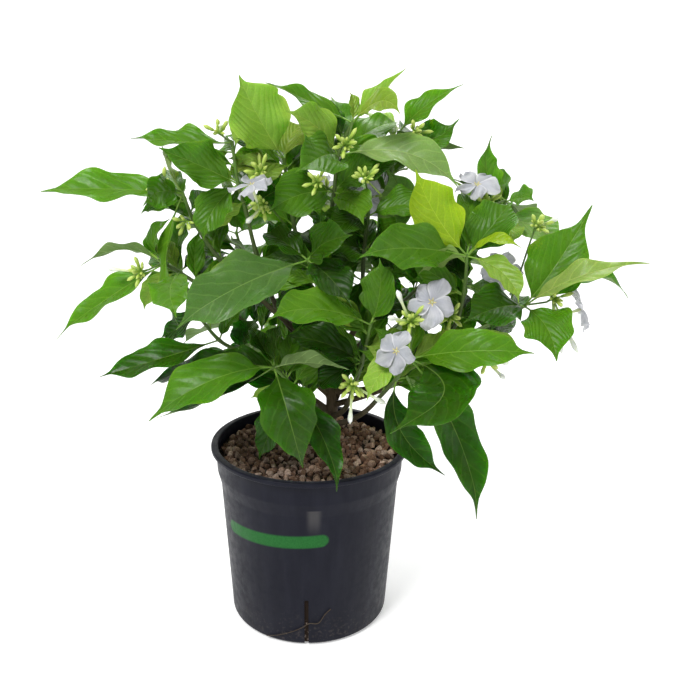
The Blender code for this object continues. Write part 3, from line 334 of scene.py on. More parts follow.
PETAL_ROUND = 0.05  # how much shorter a petal is at both sides
PETAL_VARIETY = 0.13  # in length, and in the petals' turns
PETAL_SHADE = 0.14  # in tone

# Studio
PLANT_MIDDLE = Vector((0.02, 0, 0.30))
FLOOR_REACH = 3.0
FLOOR_BACK = 0.9
SWEEP_RADIUS = 0.8
SWEEP_STEPS = 24
WALL_TOP = 3.0
SURROUND = 0.42
BACKDROP_GLOW = 0.30
SENSOR = 36.0
LAMPS = (  # (name, place, size, watts)
    ("key", (-0.8, -1.15, 1.95), 0.8, 38),
    ("fill", (1.3, -1.2, 0.9), 1.2, 6),
    ("back", (0.3, 0.9, 1.7), 1.0, 13),
)

UPPER, UNDER, STEM = 0, 1, 2  # material slots of a shoot

# Tones of the leaves' upper faces
TONES = {
    "lime": (0.220, 0.345, 0.010),
    "yellow": (0.185, 0.280, 0.030),
    "light": (0.200, 0.340, 0.040),
    # painted sheen: a paler greyish tone in place of the sky's reflection
    "pale": (0.175, 0.285, 0.075),
    "bright": (0.070, 0.180, 0.007),
    "mid": (0.055, 0.152, 0.007),
    "deep": (0.019, 0.062, 0.001),
    # painted sheen: a greyish tone in place of the sky's reflection on a glossy leaf
    "grey": (0.070, 0.152, 0.030),
    "wan": (0.235, 0.335, 0.070),
    "dark": (0.012, 0.042, 0.002),
}


@dataclass(frozen=True)
class Leaf:
    """A leaf on a stem: its joint, tip and width, how the blade is turned, and its tone."""
    joint: float  # point of the stem that it grows from
    tip: tuple  # (across, down, depth) in the front view
    width: float  # mm
    roll: float  # degrees from facing the front, over the top
    tone: str = "deep"
    via: tuple = None  # place that the midrib passes half way
    bow: float = 0.10  # or its rise there, over the leaf's length
    sky: bool = False  # roll is from facing straight up instead
    tail: float = 0.0  # how far the tip is drawn out, from 0 to 1


@dataclass(frozen=True)
class Bloom:
    """An open flower."""
    name: str
    centre: tuple  # (across, down, depth) of its throat
    facing: tuple
    size: float = 1.0


@dataclass(frozen=True)
class Cyme:
    """A bud cluster at the end of a peduncle, and the blooms that open from it."""
    name: str
    joint: int  # point of the stem that the peduncle grows from
    hub: tuple  # (across, down, depth) of the end of the peduncle
    aim: tuple  # direction that the buds fan about
    buds: int
    tubes: tuple = ()  # tips of the long buds, as places
    blooms: tuple = ()


@dataclass(frozen=True)
class Shoot:
    """A leafy stem that carries on from a branch of the trunk."""
    name: str
    fork: float  # point of the trunk that its branch grows from
    stem: tuple  # places along the stem
    leaves: tuple
    cymes: tuple = ()


SHOOTS = (
    Shoot("upper_left", 4.9, ((262, 300, -5), (222, 262, -8), (196, 225, -10), (182, 192, -10)), (
        Leaf(3, (40, 190, -25), 40, 48, "bright", bow=0.02),
        Leaf(3, (144, 204, -78), 32, 30, "mid"),
        Leaf(3, (163, 145, 10), 20, 78, "yellow"),
        Leaf(3, (176, 327, -40), 20, 62, "bright", tail=0.5),
    ), (
        Cyme("upper_left", 3, (168, 187, -20), (-0.7, -0.5, 0.3), 6),
        Cyme("left_stem", 2, (190, 221, -18), (-0.4, -0.5, -0.5), 4),
    )),
    Shoot("left_inner", 4.7, ((272, 296, 5), (256, 252, 0), (246, 212, -5), (238, 184, -8), (232, 141, -5)), (
        Leaf(4, (131, 136, 0), 36, 57, "bright", bow=-0.02, tail=0.5),
        Leaf(3, (159, 149, -45), 44, 25, "mid", bow=0.02, tail=0.5),
        Leaf(3, (202, 240, -30), 34, 20, "mid"),
        Leaf(3, (243, 232, 30), 30, 45, "bright"),
    ), (
        Cyme("left_high", 4, (224, 137, -8), (-0.3, -0.2, 0.9), 4, tubes=((220.5, 124, -10),)),
    )),
    Shoot("left_centre", 5, ((304, 292, 8), (297, 240, 5), (289, 200, 5), (284, 158, 5)), (
        Leaf(3, (239, 76, -40), 56, 12, "light", via=(258, 116, -20)),
        Leaf(3, (303, 122, 30), 40, 25, "yellow"),
        Leaf(3, (225, 135, 38), 32, 30, "bright"),
        Leaf(2.7, (236, 137, 6), 26, 60, "bright"),
        Leaf(2.6, (228, 158, 22), 38, 30, "yellow", bow=0.05),
        Leaf(1, (266, 243, -12), 34, 35),
        Leaf(0.5, (254, 312, 26), 36, 35, "dark"),
    ), (
        Cyme("left_upper", 2, (264, 176, -18), (-0.5, -0.5, 0.5), 9),
        Cyme("left_low", 1, (268, 206, -22), (-0.6, -0.5, -0.4), 8, tubes=((246, 223, -35),),
             blooms=(Bloom("left", (251, 184, -54), (-0.25, -0.32, 0.91)),)),
    )),
    Shoot("top_centre", 5, ((320, 288, 8), (327, 240, 8), (334, 192, 5), (338, 155, 5), (353, 121, 5)), (
        Leaf(4, (350, 91, 10), 12, 30, "yellow"),
        Leaf(4, (405, 67, -5), 22, 40, "light", via=(376, 97, 0), tail=1.0),
        Leaf(4, (266, 81, -15), 26, 55, "bright", via=(309, 101, 0), tail=0.7),
        Leaf(4, (400, 114, -40), 22, 35, "yellow", via=(380, 101, -24)),
        Leaf(3, (286, 112, -30), 36, 30, "light"),
        Leaf(3, (297, 173, -62), 44, 20, "mid"),
        Leaf(3, (458, 187, -30), 37, 35, "pale", via=(407, 153, -15)),
        Leaf(3, (400, 122, 62), 36, 45, "bright"),
        Leaf(2, (268, 211, -50), 46, 15, "mid"),
        Leaf(2, (378, 157, -20), 34, 20, "mid"),
        Leaf(2, (363, 224, -48), 34, 30, "bright"),
        Leaf(1, (353, 270, -14), 36, 40, "dark"),
        Leaf(1, (298, 264, -10), 36, 35),
        Leaf(1, (366, 216, 34), 36, 30, "dark"),
    ), (
        Cyme("top", 4, (347, 142, -10), (-0.2, -0.6, 0.2), 6),
        Cyme("centre", 2, (321, 184, -18), (-0.5, -0.6, 0.3), 6),
    )),
    Shoot("right_top", 4.9, ((372, 290, 28), (380, 232, 32), (390, 178, 34), (399, 131, 32)), (
        Leaf(3, (463, 83, 20), 28, 38, "bright", via=(424, 107, 25), tail=1.0),
        Leaf(3, (459, 119, 8), 38, 30, "mid", via=(433, 138, 18), tail=0.7),
        Leaf(3, (424, 150, 112), 40, 10, sky=True),
        Leaf(2, (350, 150, 90), 38, 20, "mid", sky=True),
    ), (
        Cyme("right_high", 3, (410, 133, 22), (0.6, -0.4, 0.4), 5),
    )),
    Shoot("centre", 4.5, ((362, 296, 0), (364, 250, -5), (368, 216, -8), (368, 194, -10)), (
        Leaf(1, (385, 168, 14), 38, 12, "pale", via=(398, 205, 12)),
        Leaf(2, (433, 207, -22), 34, 40, "mid"),
        Leaf(1, (403, 240, -62), 40, 40),
        Leaf(1, (318, 252, -45), 40, 35),
        Leaf(2, (330, 232, -20), 34, 30),
        Leaf(1, (394, 270, -22), 36, 40),
        Leaf(0.4, (336, 326, -32), 36, 35),
        Leaf(0.4, (402, 300, 18), 36, 40),
    ), (
        Cyme("centre_right", 3, (366, 184, -12), (-0.1, -0.5, 0.7), 7, tubes=((360, 180, -22),),
             blooms=(Bloom("centre_back", (369, 198, 13), (-0.35, 0.85, -0.2)),)),
    )),
    Shoot("right", 3.6, ((440, 350, -20), (458, 318, -28), (465, 285, -32), (467, 254, -32)), (
        Leaf(3, (415, 170, -48), 46, 12, "lime", via=(436, 215, -42)),
        Leaf(3, (512, 200, -20), 46, 22, "mid"),
        Leaf(3, (360, 256, -78), 47, 40, "mid", via=(409, 248, -60), tail=0.5),
        Leaf(3, (521, 303, -80), 25, 30, "light", via=(502, 272, -60)),
        Leaf(3, (521, 248, -62), 15, 55, "lime", via=(493, 240, -50)),
        Leaf(3, (418, 272, -56), 26, 128, "light"),
        Leaf(3, (462, 188, 22), 36, 30, "bright"),
        Leaf(1, (494, 322, -8), 34, 40),
        Leaf(1, (424, 290, 4), 34, 35, "dark"),
        Leaf(2, (494, 312, 10), 34, 35, "mid"),
        Leaf(2, (436, 256, 2), 32, 40, "dark"),
    ), (
        Cyme("right_low", 1, (452, 316, -42), (-0.3, -0.7, 0.1), 8,
             blooms=(Bloom("front_right", (432, 302, -78), (-0.10, -0.86, 0.48), 1.1),)),
    )),
    Shoot("far_right", 3.1, ((432, 362, -25), (470, 334, -36), (505, 318, -42), (526, 305, -42)), (
        Leaf(3, (593, 205, -25), 59, 22, "bright", via=(558, 262, -35), tail=1.0),
        Leaf(3, (651, 262, -60), 29, 48, "wan", via=(581, 276, -62), tail=0.8),
        Leaf(3, (631, 298, -22), 32, 60, "mid", via=(586, 276, -28)),
        Leaf(3, (556, 361, -92), 49, 22, "bright", via=(547, 328, -70), tail=0.5),
        Leaf(3, (464, 322, -88), 44, 30),
        Leaf(2, (490, 330, -68), 18, 40, "mid"),
        Leaf(1, (452, 378, -18), 34, 40, "dark"),
        Leaf(1, (500, 356, -10), 32, 40, "dark"),
    ), (
        Cyme("far_right", 3, (548, 301, -50), (0.3, -0.4, 0.75), 5, tubes=((578, 353, -70), (562, 354, -66)),
             blooms=(Bloom("far_right", (582, 309, -62), (0.90, -0.22, 0.38)),)),
        Cyme("right_under", 1, (484, 356, -62), (0.4, -0.5, -0.6), 3,
             tubes=((505, 379, -80), (509, 363, -78), (446, 374, -84))),
        Cyme("right_upper", 2, (534, 232, -14), (0.4, -0.3, 0.6), 6, tubes=((558, 218, -10),)),
    )),
    Shoot("front_right", 2.2, ((375, 402, -45), (396, 379, -65), (411, 357, -75)), (
        Leaf(2, (535, 353, -118), 40, 20, "bright", via=(470, 351, -105), tail=0.3),
        Leaf(2, (389, 430, -150), 64, 12, via=(444, 392, -120)),
        Leaf(2, (481, 519, -112), 39, 18, via=(455, 430, -92)),
        Leaf(2, (367, 402, -112), 26, 30, "light", via=(384, 370, -98)),
        Leaf(1, (446, 475, -84), 34, 20, "dark", via=(401, 431, -78)),
    ), (
        Cyme("front_right", 2, (411, 326, -80), (-0.2, -0.7, 0.4), 7,
             tubes=((397, 290, -88), (388, 317, -96)),
             blooms=(Bloom("front", (396, 351, -108), (-0.46, -0.84, 0.28)),)),
    )),
    Shoot("front_centre", 2.6, ((350, 398, -28), (362, 362, -52), (371, 323, -65)), (
        Leaf(2, (268, 318, -108), 40, 38, "bright", via=(318, 309, -92)),
        Leaf(2, (380, 258, -66), 34, 18, "mid"),
        Leaf(1, (285, 336, -62), 38, 40, "dark"),
        Leaf(1, (314, 388, -50), 34, 35, "dark"),
        Leaf(2, (402, 300, -30), 30, 40, "dark"),
        Leaf(1, (404, 348, -40), 34, 35, "dark"),
    ), (
        Cyme("front_low", 1, (354, 380, -72), (-0.3, -0.7, -0.4), 9,
             tubes=((350, 424, -84), (386, 404, -80))),
    )),
    Shoot("front_left", 2.3, ((316, 406, -20), (293, 386, -48), (273, 366, -62)), (
        Leaf(2, (147, 421, -100), 48, 38, "mid", via=(212, 380, -88)),
        Leaf(2, (303, 470, -100), 53, 6, via=(288, 414, -108), tail=0.7),
        Leaf(2, (148, 385, -30), 36, 55, "dark"),
        Leaf(2, (155, 417, -45), 22, 72, "dark", via=(215, 398, -48)),
        Leaf(2, (350, 369, -108), 26, 118, "dark"),
        Leaf(2, (281, 321, -58), 26, 62),
        Leaf(2, (252, 326, -30), 26, 40),
        Leaf(1, (259, 460, -62), 30, 28, "dark", via=(273, 425, -58)),
        Leaf(1, (340, 491, -116), 33, 28, "dark", via=(323, 438, -92), tail=0.7),
        Leaf(0.5, (250, 352, 8), 36, 40, "dark"),
        Leaf(1, (226, 372, -12), 36, 38, "dark"),
    )),
    Shoot("lower_left", 2.8, ((272, 372, -12), (242, 353, -22), (219, 340, -28), (196, 313, -28)), (
        Leaf(2, (99, 377, -62), 38, 45, via=(156, 360, -50), tail=0.3),
        Leaf(3, (160, 337, 0), 28, 35, "dark", via=(180, 327, -10)),
        Leaf(2, (245, 308, -18), 20, 45),
        Leaf(3, (188, 286, 10), 26, 60),
        Leaf(1, (256, 318, 4), 34, 40, "dark"),
        Leaf(0.5, (222, 392, 4), 34, 45, "dark"),
    )),
    Shoot("left", 3.4, ((244, 322, 0), (207, 291, -8), (179, 272, -12), (162, 263, -15)), (
        Leaf(3, (170, 218, -12), 24, 62, "mid", via=(154, 240, -15)),
        Leaf(3, (81, 265, -8), 23, 112, "mid", via=(124, 249, -12), tail=0.8),
        Leaf(3, (55, 336, -48), 36, 50, "bright", via=(108, 298, -35), tail=0.6),
        Leaf(2, (178, 316, -72), 36, 12, "bright", via=(170, 291, -56)),
        Leaf(2, (232, 254, 35), 26, 55),
    ), (
        Cyme("left_tip", 3, (147, 270, -22), (-0.7, -0.4, 0.0), 7, tubes=((107, 268, -24),)),
    )),
    Shoot("mid_left", 4.1, ((324, 300, -12), (316, 276, -26), (307, 259, -35)), (
        # its grey tone is painted sheen
        Leaf(2, (174, 328, -100), 54, 25, "grey", via=(240, 286, -80)),
        Leaf(2, (352, 236, -78), 38, 35),
        Leaf(2, (352, 306, -86), 36, 30, "dark"),
        Leaf(2, (262, 232, 0), 32, 40),
        Leaf(0.5, (276, 318, 2), 34, 35, "dark"),
        Leaf(0.5, (304, 346, -40), 34, 30, "dark"),
    )),
    Shoot("right_back", 4.4, ((440, 300, 25), (474, 252, 30), (498, 218, 30), (506, 200, 28)), (
        Leaf(3, (492, 135, 18), 27, 28, "bright", via=(487, 172, 24), tail=0.8),
        Leaf(3, (534, 200, 8), 26, 50, "bright"),
        Leaf(2, (513, 243, -5), 26, 45, "light"),
        Leaf(2, (563, 246, 2), 32, 40, "pale"),
        Leaf(3, (520, 235, 110), 38, 10, "mid", sky=True),
        Leaf(2, (440, 240, 95), 40, 15, "mid", sky=True),
    ), (
        Cyme("right_bloom", 3, (488, 205, 8), (-0.1, -0.5, 0.8), 6,
             blooms=(Bloom("right_high", (477, 184, -2), (-0.12, -0.55, 0.83), 1.05),)),
        Cyme("right_mid", 1, (492, 272, 12), (0.3, -0.6, 0.3), 4,
             blooms=(Bloom("right_mid", (505, 269, -20), (0.15, -0.85, 0.45), 1.05),)),
    )),
    Shoot("back_left", 4.3, ((290, 318, 48), (262, 285, 78), (244, 255, 98), (236, 232, 106)), (
        Leaf(3, (178, 232, 120), 38, 20, "mid", sky=True),
        Leaf(3, (262, 168, 140), 40, -25, sky=True),
        Leaf(3, (290, 225, 175), 42, 12, "mid", sky=True),
        Leaf(2, (196, 300, 130), 38, 10, "mid", sky=True),
        Leaf(2, (300, 290, 165), 40, -12, sky=True),
        Leaf(1, (205, 262, 60), 34, 25, "mid", sky=True),
    ), (
        Cyme("back_left", 3, (240, 216, 120), (-0.2, 0.8, 0.5), 6,
             blooms=(Bloom("back_left", (250, 205, 150), (0.0, 0.9, 0.4)),)),
    )),
    Shoot("back_low_left", 3.2, ((296, 352, 45), (268, 336, 78), (248, 326, 100)), (
        Leaf(2, (180, 345, 125), 40, 10, "mid", sky=True),
        Leaf(2, (262, 372, 165), 42, 0, sky=True),
        Leaf(2, (222, 300, 160), 38, 10, "mid", sky=True),
        Leaf(1, (215, 372, 70), 36, 15, sky=True),
        Leaf(1, (300, 385, 125), 36, -10, "dark", sky=True),
    )),
    Shoot("back_centre", 4.7, ((332, 296, 50), (330, 262, 84), (328, 230, 104), (326, 208, 112)), (
        Leaf(3, (282, 172, 140), 38, -15, "mid", sky=True),
        Leaf(3, (380, 180, 150), 42, 15, "bright", sky=True),
        Leaf(3, (336, 222, 190), 42, 0, "mid", sky=True),
        Leaf(2, (292, 262, 175), 38, 10, sky=True),
        Leaf(2, (388, 262, 170), 40, -10, "mid", sky=True),
        Leaf(1, (340, 300, 155), 38, 5, "dark", sky=True),
    ), (
        Cyme("back_centre", 3, (326, 196, 118), (0.0, 0.6, 0.8), 6,
             blooms=(Bloom("back_high", (322, 186, 146), (-0.2, 0.8, 0.55)),)),
    )),
    Shoot("back_low_right", 2.9, ((366, 350, 45), (388, 334, 82), (402, 322, 108)), (
        Leaf(2, (470, 335, 130), 40, 10, "mid", sky=True),
        Leaf(2, (402, 362, 175), 42, 0, "mid", sky=True),
        Leaf(2, (425, 292, 165), 38, 12, sky=True),
        Leaf(1, (340, 362, 140), 38, -10, "dark", sky=True),
        Leaf(1, (448, 362, 85), 36, 15, sky=True),
    )),
    Shoot("back_right", 4.0, ((392, 312, 45), (424, 282, 80), (446, 256, 98), (456, 238, 104)), (
        Leaf(3, (518, 218, 125), 40, 15, "mid", sky=True),
        Leaf(3, (424, 190, 140), 38, -15, sky=True),
        Leaf(3, (462, 240, 180), 42, 5, "mid", sky=True),
        Leaf(2, (510, 290, 140), 40, -10, "bright", sky=True),
        Leaf(2, (408, 282, 170), 38, 12, sky=True),
        Leaf(1, (470, 300, 60), 34, 15, "mid", sky=True),
    ), (
        Cyme("back_right", 3, (462, 222, 112), (0.3, 0.6, 0.6), 6,
             blooms=(Bloom("back_right", (474, 216, 140), (0.35, 0.8, 0.4)),)),
    )),
)


def place(across, down, depth):
    """The point seen at (across, down) of the front view, depth mm behind the pot's axis."""
    ray = (VIEW_AHEAD + VIEW_RIGHT * ((across - VIEW_MIDDLE) / VIEW_FOCAL)
           + VIEW_UP * ((VIEW_MIDDLE - down) / VIEW_FOCAL))
    return VIEW_EYE + ray * ((depth * MM - VIEW_EYE.y) / ray.y)


def across_to(vector, axis):
    """The part of a vector that is square to an axis, made one long."""
    return (vector - axis * vector.dot(axis)).normalized()


def bent(start, middle, end, steps):
    """Points of a quadratic curve."""
    return [start.lerp(middle, t).lerp(middle.lerp(end, t), t)
            for t in (step / steps for step in range(steps + 1))]


def smoothed(points, steps):
    """Points of a smooth curve through the given ones, with so many steps between two."""
    first, last = points[0] * 2 - points[1], points[-1] * 2 - points[-2]
    line = [first, *points, last]
    curve = []
    for a, b, c, d in zip(line, line[1:], line[2:], line[3:]):
        for t in (step / steps for step in range(steps)):
            curve.append((b * 2 + (c - a) * t + (a * 2 - b * 5 + c * 4 - d) * t ** 2
                          + (b * 3 - a - c * 3 + d) * t ** 3) / 2)
    return curve + [points[-1]]


def smooth_step(value, low, high):
    """0 below low and 1 above high, with a soft rise between."""
    share = np.clip((value - low) / (high - low), 0, 1)
    return share * share * (3 - 2 * share)


def stem_point(stem, joint, end_seat):
    """A point along a stem, at joint 1.5 half way from its second point to its third one. At
    the stem's end it is brought in by end_seat, so that what grows on from it is sunk in it."""
    low = int(joint)
    if low == len(stem) - 1:
        return stem[-1] + (stem[-2] - stem[-1]).normalized() * end_seat
    return stem[low].lerp(stem[low + 1], joint - low)


def stem_line(shoot):
    """Points along the stem of a shoot."""
    return [place(*spot) for spot in shoot.stem]


def leaf_midrib(leaf, stem):
    """The leaf's midrib as (start, control, end) of a quadratic curve."""
    start, end = stem_point(stem, leaf.joint, PETIOLE_END_SEAT), place(*leaf.tip)
    chord = end - start
    start = start + chord.normalized() * PETIOLE_SEAT
    if leaf.via:
        middle = place(*leaf.via)
    else:
        away = Vector((start.x, start.y, 0)).normalized() * BOW_OUT + Vector((0, 0, BOW_UP))
        middle = (start + end) / 2 + across_to(away, chord.normalized()) * leaf.bow * chord.length
    return start, middle * 2 - (start + end) / 2, end


def leaf_frames(leaf, stem, stations):
    """Point, aim, side and face direction of the midrib at each station."""
    start, control, end = leaf_midrib(leaf, stem)
    middle = bent(start, control, end, 2)[1]
    middle_aim = (end - start).normalized()
    toward = Vector((0, 0, 1)) if leaf.sky else VIEW_EYE - middle
    face = across_to(toward, middle_aim)
    over = middle_aim.cross(face)
    if over.z < 0 and not leaf.sky:
        over = -over
    roll = math.radians(leaf.roll)
    face = face * math.cos(roll) + over * math.sin(roll)
    frames = []
    for t in stations:
        point = start.lerp(control, t).lerp(control.lerp(end, t), t)
        aim = ((control - start) * (1 - t) + (end - control) * t).normalized()
        turned = middle_aim.rotation_difference(aim) @ face
        frames.append((point, aim, aim.cross(turned), turned))
    return frames


def leaf_phase(leaf):
    """Where the waves of the leaf's margin start."""
    return 0.7 * leaf.tip[0] + 0.3 * leaf.tip[1]


def seen(point):
    """The place in the front view where a point is seen, and its depth."""
    ray = point - VIEW_EYE
    ahead = ray.dot(VIEW_AHEAD)
    return (VIEW_MIDDLE + VIEW_FOCAL * ray.dot(VIEW_RIGHT) / ahead,
            VIEW_MIDDLE - VIEW_FOCAL * ray.dot(VIEW_UP) / ahead, point.y / MM)


def leaf_sheet(leaf, stem):
    """Points of the leaf's blade as a thin folded sheet, and the sheet ready to be tested."""
    points = []
    for t, (point, _, side, face) in zip(SHEET_STATIONS, leaf_frames(leaf, stem, SHEET_STATIONS)):
        along = (t - PETIOLE_SHARE) / (1 - PETIOLE_SHARE)
        half = leaf.width * MM / 2 * float(np.interp(along, *zip(*FINE_OUTLINE)))
        rise = face * half * math.sin(BLADE_FOLD)
        points += [point - side * half + rise, point, point + side * half + rise]
    corners = [3 * row + column for row in range(len(SHEET_STATIONS) - 1) for column in range(2)]
    return points, BVHTree.FromPolygons(points, [(a, a + 1, a + 4, a + 3) for a in corners])


def inner_leaves():
    """For each shoot, the small leaves along its stem, long ones first, that cross nothing else."""
    random = np.random.default_rng(INNER_SEED)
    points, faces = [], []
    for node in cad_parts.values():
        faces += [tuple(corner + len(points) for corner in face.vertices) for face in node.data.polygons]
        points += [vertex.co.copy() for vertex in node.data.vertices]
    placed = [BVHTree.FromPolygons(points, faces)]
    grown = {shoot.name: [] for shoot in SHOOTS}
    for longest in INNER_LENGTHS:
        for shoot in SHOOTS:
            line = stem_line(shoot)
            for joint in np.arange(INNER_JOINT_STEP, len(line) - 1, INNER_JOINT_STEP):
                found = clear_leaf(random, line, joint, longest, placed)
                if found:
                    placed.append(leaf_sheet(found, line)[1])
                    grown[shoot.name].append(found)
    return grown


def clear_leaf(random, line, joint, longest, placed):
    """A small leaf at a joint of a stem that crosses none of what is placed, if one is found."""
    start = stem_point(line, joint, 0)
    aim = (line[int(joint) + 1] - line[int(joint)]).normalized()
    for _ in range(INNER_TRIES):
        length = longest * random.uniform(INNER_SHORTEST, 1.0)
        out = Quaternion(aim, random.uniform(0, 2 * math.pi)) @ across_to(Vector((0, 0, 1)), aim)
        tip = start + (out + aim * random.uniform(*INNER_LEANS) + INNER_DROP).normalized() * length
        far = math.hypot(tip.x - TRUNK[0].x, tip.y - TRUNK[0].y) > INNER_FURTHEST
        if far or tip.z < INNER_LOWEST or tip.y < start.y:
            continue
        roll, bow = random.uniform(-INNER_ROLL, INNER_ROLL), random.uniform(*INNER_BOWS)
        tone = INNER_TONES[random.integers(len(INNER_TONES))]
        leaf = Leaf(joint, seen(tip), length * INNER_WIDTH_SHARE / MM, roll, tone, bow=bow,
                    sky=bool(tip.y > INNER_SKY_DEPTH), tail=random.uniform(0, INNER_LONGEST_TAIL))
        points, sheet = leaf_sheet(leaf, line)
        if not closes_opening(points) and not any(sheet.overlap(other) for other in placed):
            return leaf
    return None


def closes_opening(points):
    """Whether any of the points is in front of or behind an opening of the bush."""
    places = [seen(point) for point in points]
    return any(math.hypot(across - x, down - y) < radius
               for across, down, _ in places for x, y, radius in OPENINGS)


def plain_margin(leaf, stem):
    """Points along both margins of the leaf's plain solid."""
    stations = next(shares for least, shares in PLAIN_STATIONS if leaf.width >= least)
    points = []
    for t, (point, _, side, face) in zip(stations, leaf_frames(leaf, stem, stations)):
        along = (t - PETIOLE_SHARE) / (1 - PETIOLE_SHARE)
        half = leaf.width * MM / 2 * float(np.interp(along, *zip(*PLAIN_OUTLINE)))
        for edge in (-1, 1):
            turn = 2 * math.pi * BLADE_WAVES * t + leaf_phase(leaf) + edge * BLADE_WAVE_LEAD
            swing = math.sin(turn) * math.sin(math.pi * t)
            rise = half * math.sin(BLADE_FOLD) + swing * leaf.width * MM * BLADE_WAVE_SHARE
            points.append(point + side * half * edge * math.cos(BLADE_FOLD)
                          + face * (rise + BLADE_THICKNESS / 2))
    return points


def as_modelled(leaf, stem, corners):
    """The leaf with its tip brought forward or back, and rolled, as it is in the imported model.
    The two points of its margin that miss by most don't count."""
    best = (math.inf, leaf)
    for shift in BEND_STEPS:
        for roll in ROLL_STEPS:
            across, down, depth = leaf.tip
            via = leaf.via and (leaf.via[0], leaf.via[1], leaf.via[2] + shift * BEND_SHARE)
            tried = replace(leaf, tip=(across, down, depth + shift), via=via, roll=leaf.roll + roll)
            misses = sorted(corners.find(point)[2] for point in plain_margin(tried, stem))
            miss = sum(misses[:-2])
            if miss < best[0]:
                best = (miss, tried)
            if miss < MATCH_LIMIT:
                return tried
    raise ValueError(f"a leaf with its tip at {leaf.tip} isn't in the model: {best[0]}")


class Skin:
    """A piece as it is put together: points, faces, and what its materials read from them."""

    def __init__(self):
        self.points = []
        self.tones = []
        self.spots = []
        self.faces = []
        self.slots = []
        self.count = 0

    def add(self, points, faces, slot=0, tone=(1, 1, 1), spot=(0, 0, 0)):
        """Add points, and faces that number them from 0. The slot, tone and spot are one for
        all or one for each."""
        points = np.array([tuple(point) for point in points])
        self.points.append(points)
        self.tones.append(np.broadcast_to(tone, points.shape))
        self.spots.append(np.broadcast_to(spot, points.shape))
        self.faces += [tuple(corner + self.count for corner in face) for face in faces]
        self.slots += list(slot) if np.ndim(slot) else [slot] * len(faces)
        self.count += len(points)


def new_object(name, data):
    """An object of the scene with the given mesh, lamp or camera."""
    made = bpy.data.objects.new(name, data)
    bpy.context.scene.collection.objects.link(made)
    return made


def new_mesh(name, points, faces, materials=()):
    """A smooth mesh with its materials."""
    mesh = bpy.data.meshes.new(name)
    mesh.from_pydata(points, [], faces)
    for material in materials:
        mesh.materials.append(material)
    mesh.shade_smooth()
    return mesh


def make_piece(name, skin, materials, node, sharp=60):
    """A piece of the scene that stands for a node of the model. Its edges stay sharp from the
    given degrees up."""
    mesh = new_mesh(name, np.concatenate(skin.points).tolist(), skin.faces, materials)
    mesh.polygons.foreach_set("material_index", skin.slots)
    mesh.set_sharp_from_angle(angle=math.radians(sharp))
    tones = np.concatenate(skin.tones)
    tone = mesh.attributes.new("tone", "FLOAT_COLOR", "POINT")
    tone.data.foreach_set("color", np.hstack([tones, np.ones((len(tones), 1))]).ravel())
    spot = mesh.attributes.new("spot", "FLOAT_VECTOR", "POINT")
    spot.data.foreach_set("vector", np.concatenate(skin.spots).ravel())
    piece = new_object(name, mesh)
    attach(piece, "root")
    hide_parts(node)
    return piece


def ring_faces(rings, sides):
    """The faces of a closed skin over rings of so many points, with flat ends."""
    faces = [tuple(reversed(range(sides)))]
    for ring in range(rings - 1):
        for k in range(sides):
            a, b = ring * sides + k, ring * sides + (k + 1) % sides
            faces.append((a, b, b + sides, a + sides))
    faces.append(tuple((rings - 1) * sides + k for k in range(sides)))
    return faces


def tube(points, radii, sides, lobes=0, lobe_depth=0.0, lobe_turn=0.0):
    """A closed tube along points, with lobes that wind round it if asked for."""
    aims = [(points[min(i + 1, len(points) - 1)] - points[max(i - 1, 0)]).normalized()
            for i in range(len(points))]
    side = across_to(TUBE_SIDE, aims[0])
    rings = []
    for i, (point, aim, radius) in enumerate(zip(points, aims, radii)):
        if i:
            side = across_to(aims[i - 1].rotation_difference(aim) @ side, aim)
        other = aim.cross(side)
        for turn in (2 * math.pi * k / sides for k in range(sides)):
            lobe = 1 + lobe_depth * math.cos(lobes * turn + lobe_turn * i / len(points))
            rings.append(point + (side * math.cos(turn) + other * math.sin(turn)) * radius * lobe)
    return rings, ring_faces(len(points), sides)


def graded(first, last, rings, sides):
    """A tone for each point of a tube, from the first colour to the last."""
    share = np.linspace(0, 1, rings).repeat(sides)[:, None]
    return np.array(first) * (1 - share) + np.array(last) * share


def radii_along(profile, line):
    """The radius at each point of a line, from (share of the way, radius) pairs."""
    return np.interp(np.linspace(0, 1, len(line)), *zip(*profile))


def both_faces(top, under):
    """Rows of a sheet's upper face, each carried on by its under face back to its start."""
    return np.concatenate([top, under[:, ::-1]], axis=1).reshape(-1, 3)


def half_share(outline, along):
    """The leaf's half width at each place along it, on a smooth curve through the outline's points."""
    places, shares = (np.array(values) for values in zip(*outline))
    slopes = np.gradient(shares, places)
    k = np.clip(np.searchsorted(places, along, side="right") - 1, 0, len(places) - 2)
    step = places[k + 1] - places[k]
    u = np.clip((along - places[k]) / step, 0, 1)
    return ((1 + 2 * u) * (1 - u) ** 2 * shares[k] + u ** 2 * (3 - 2 * u) * shares[k + 1]
            + step * u * (1 - u) * ((1 - u) * slopes[k] - u * slopes[k + 1]))


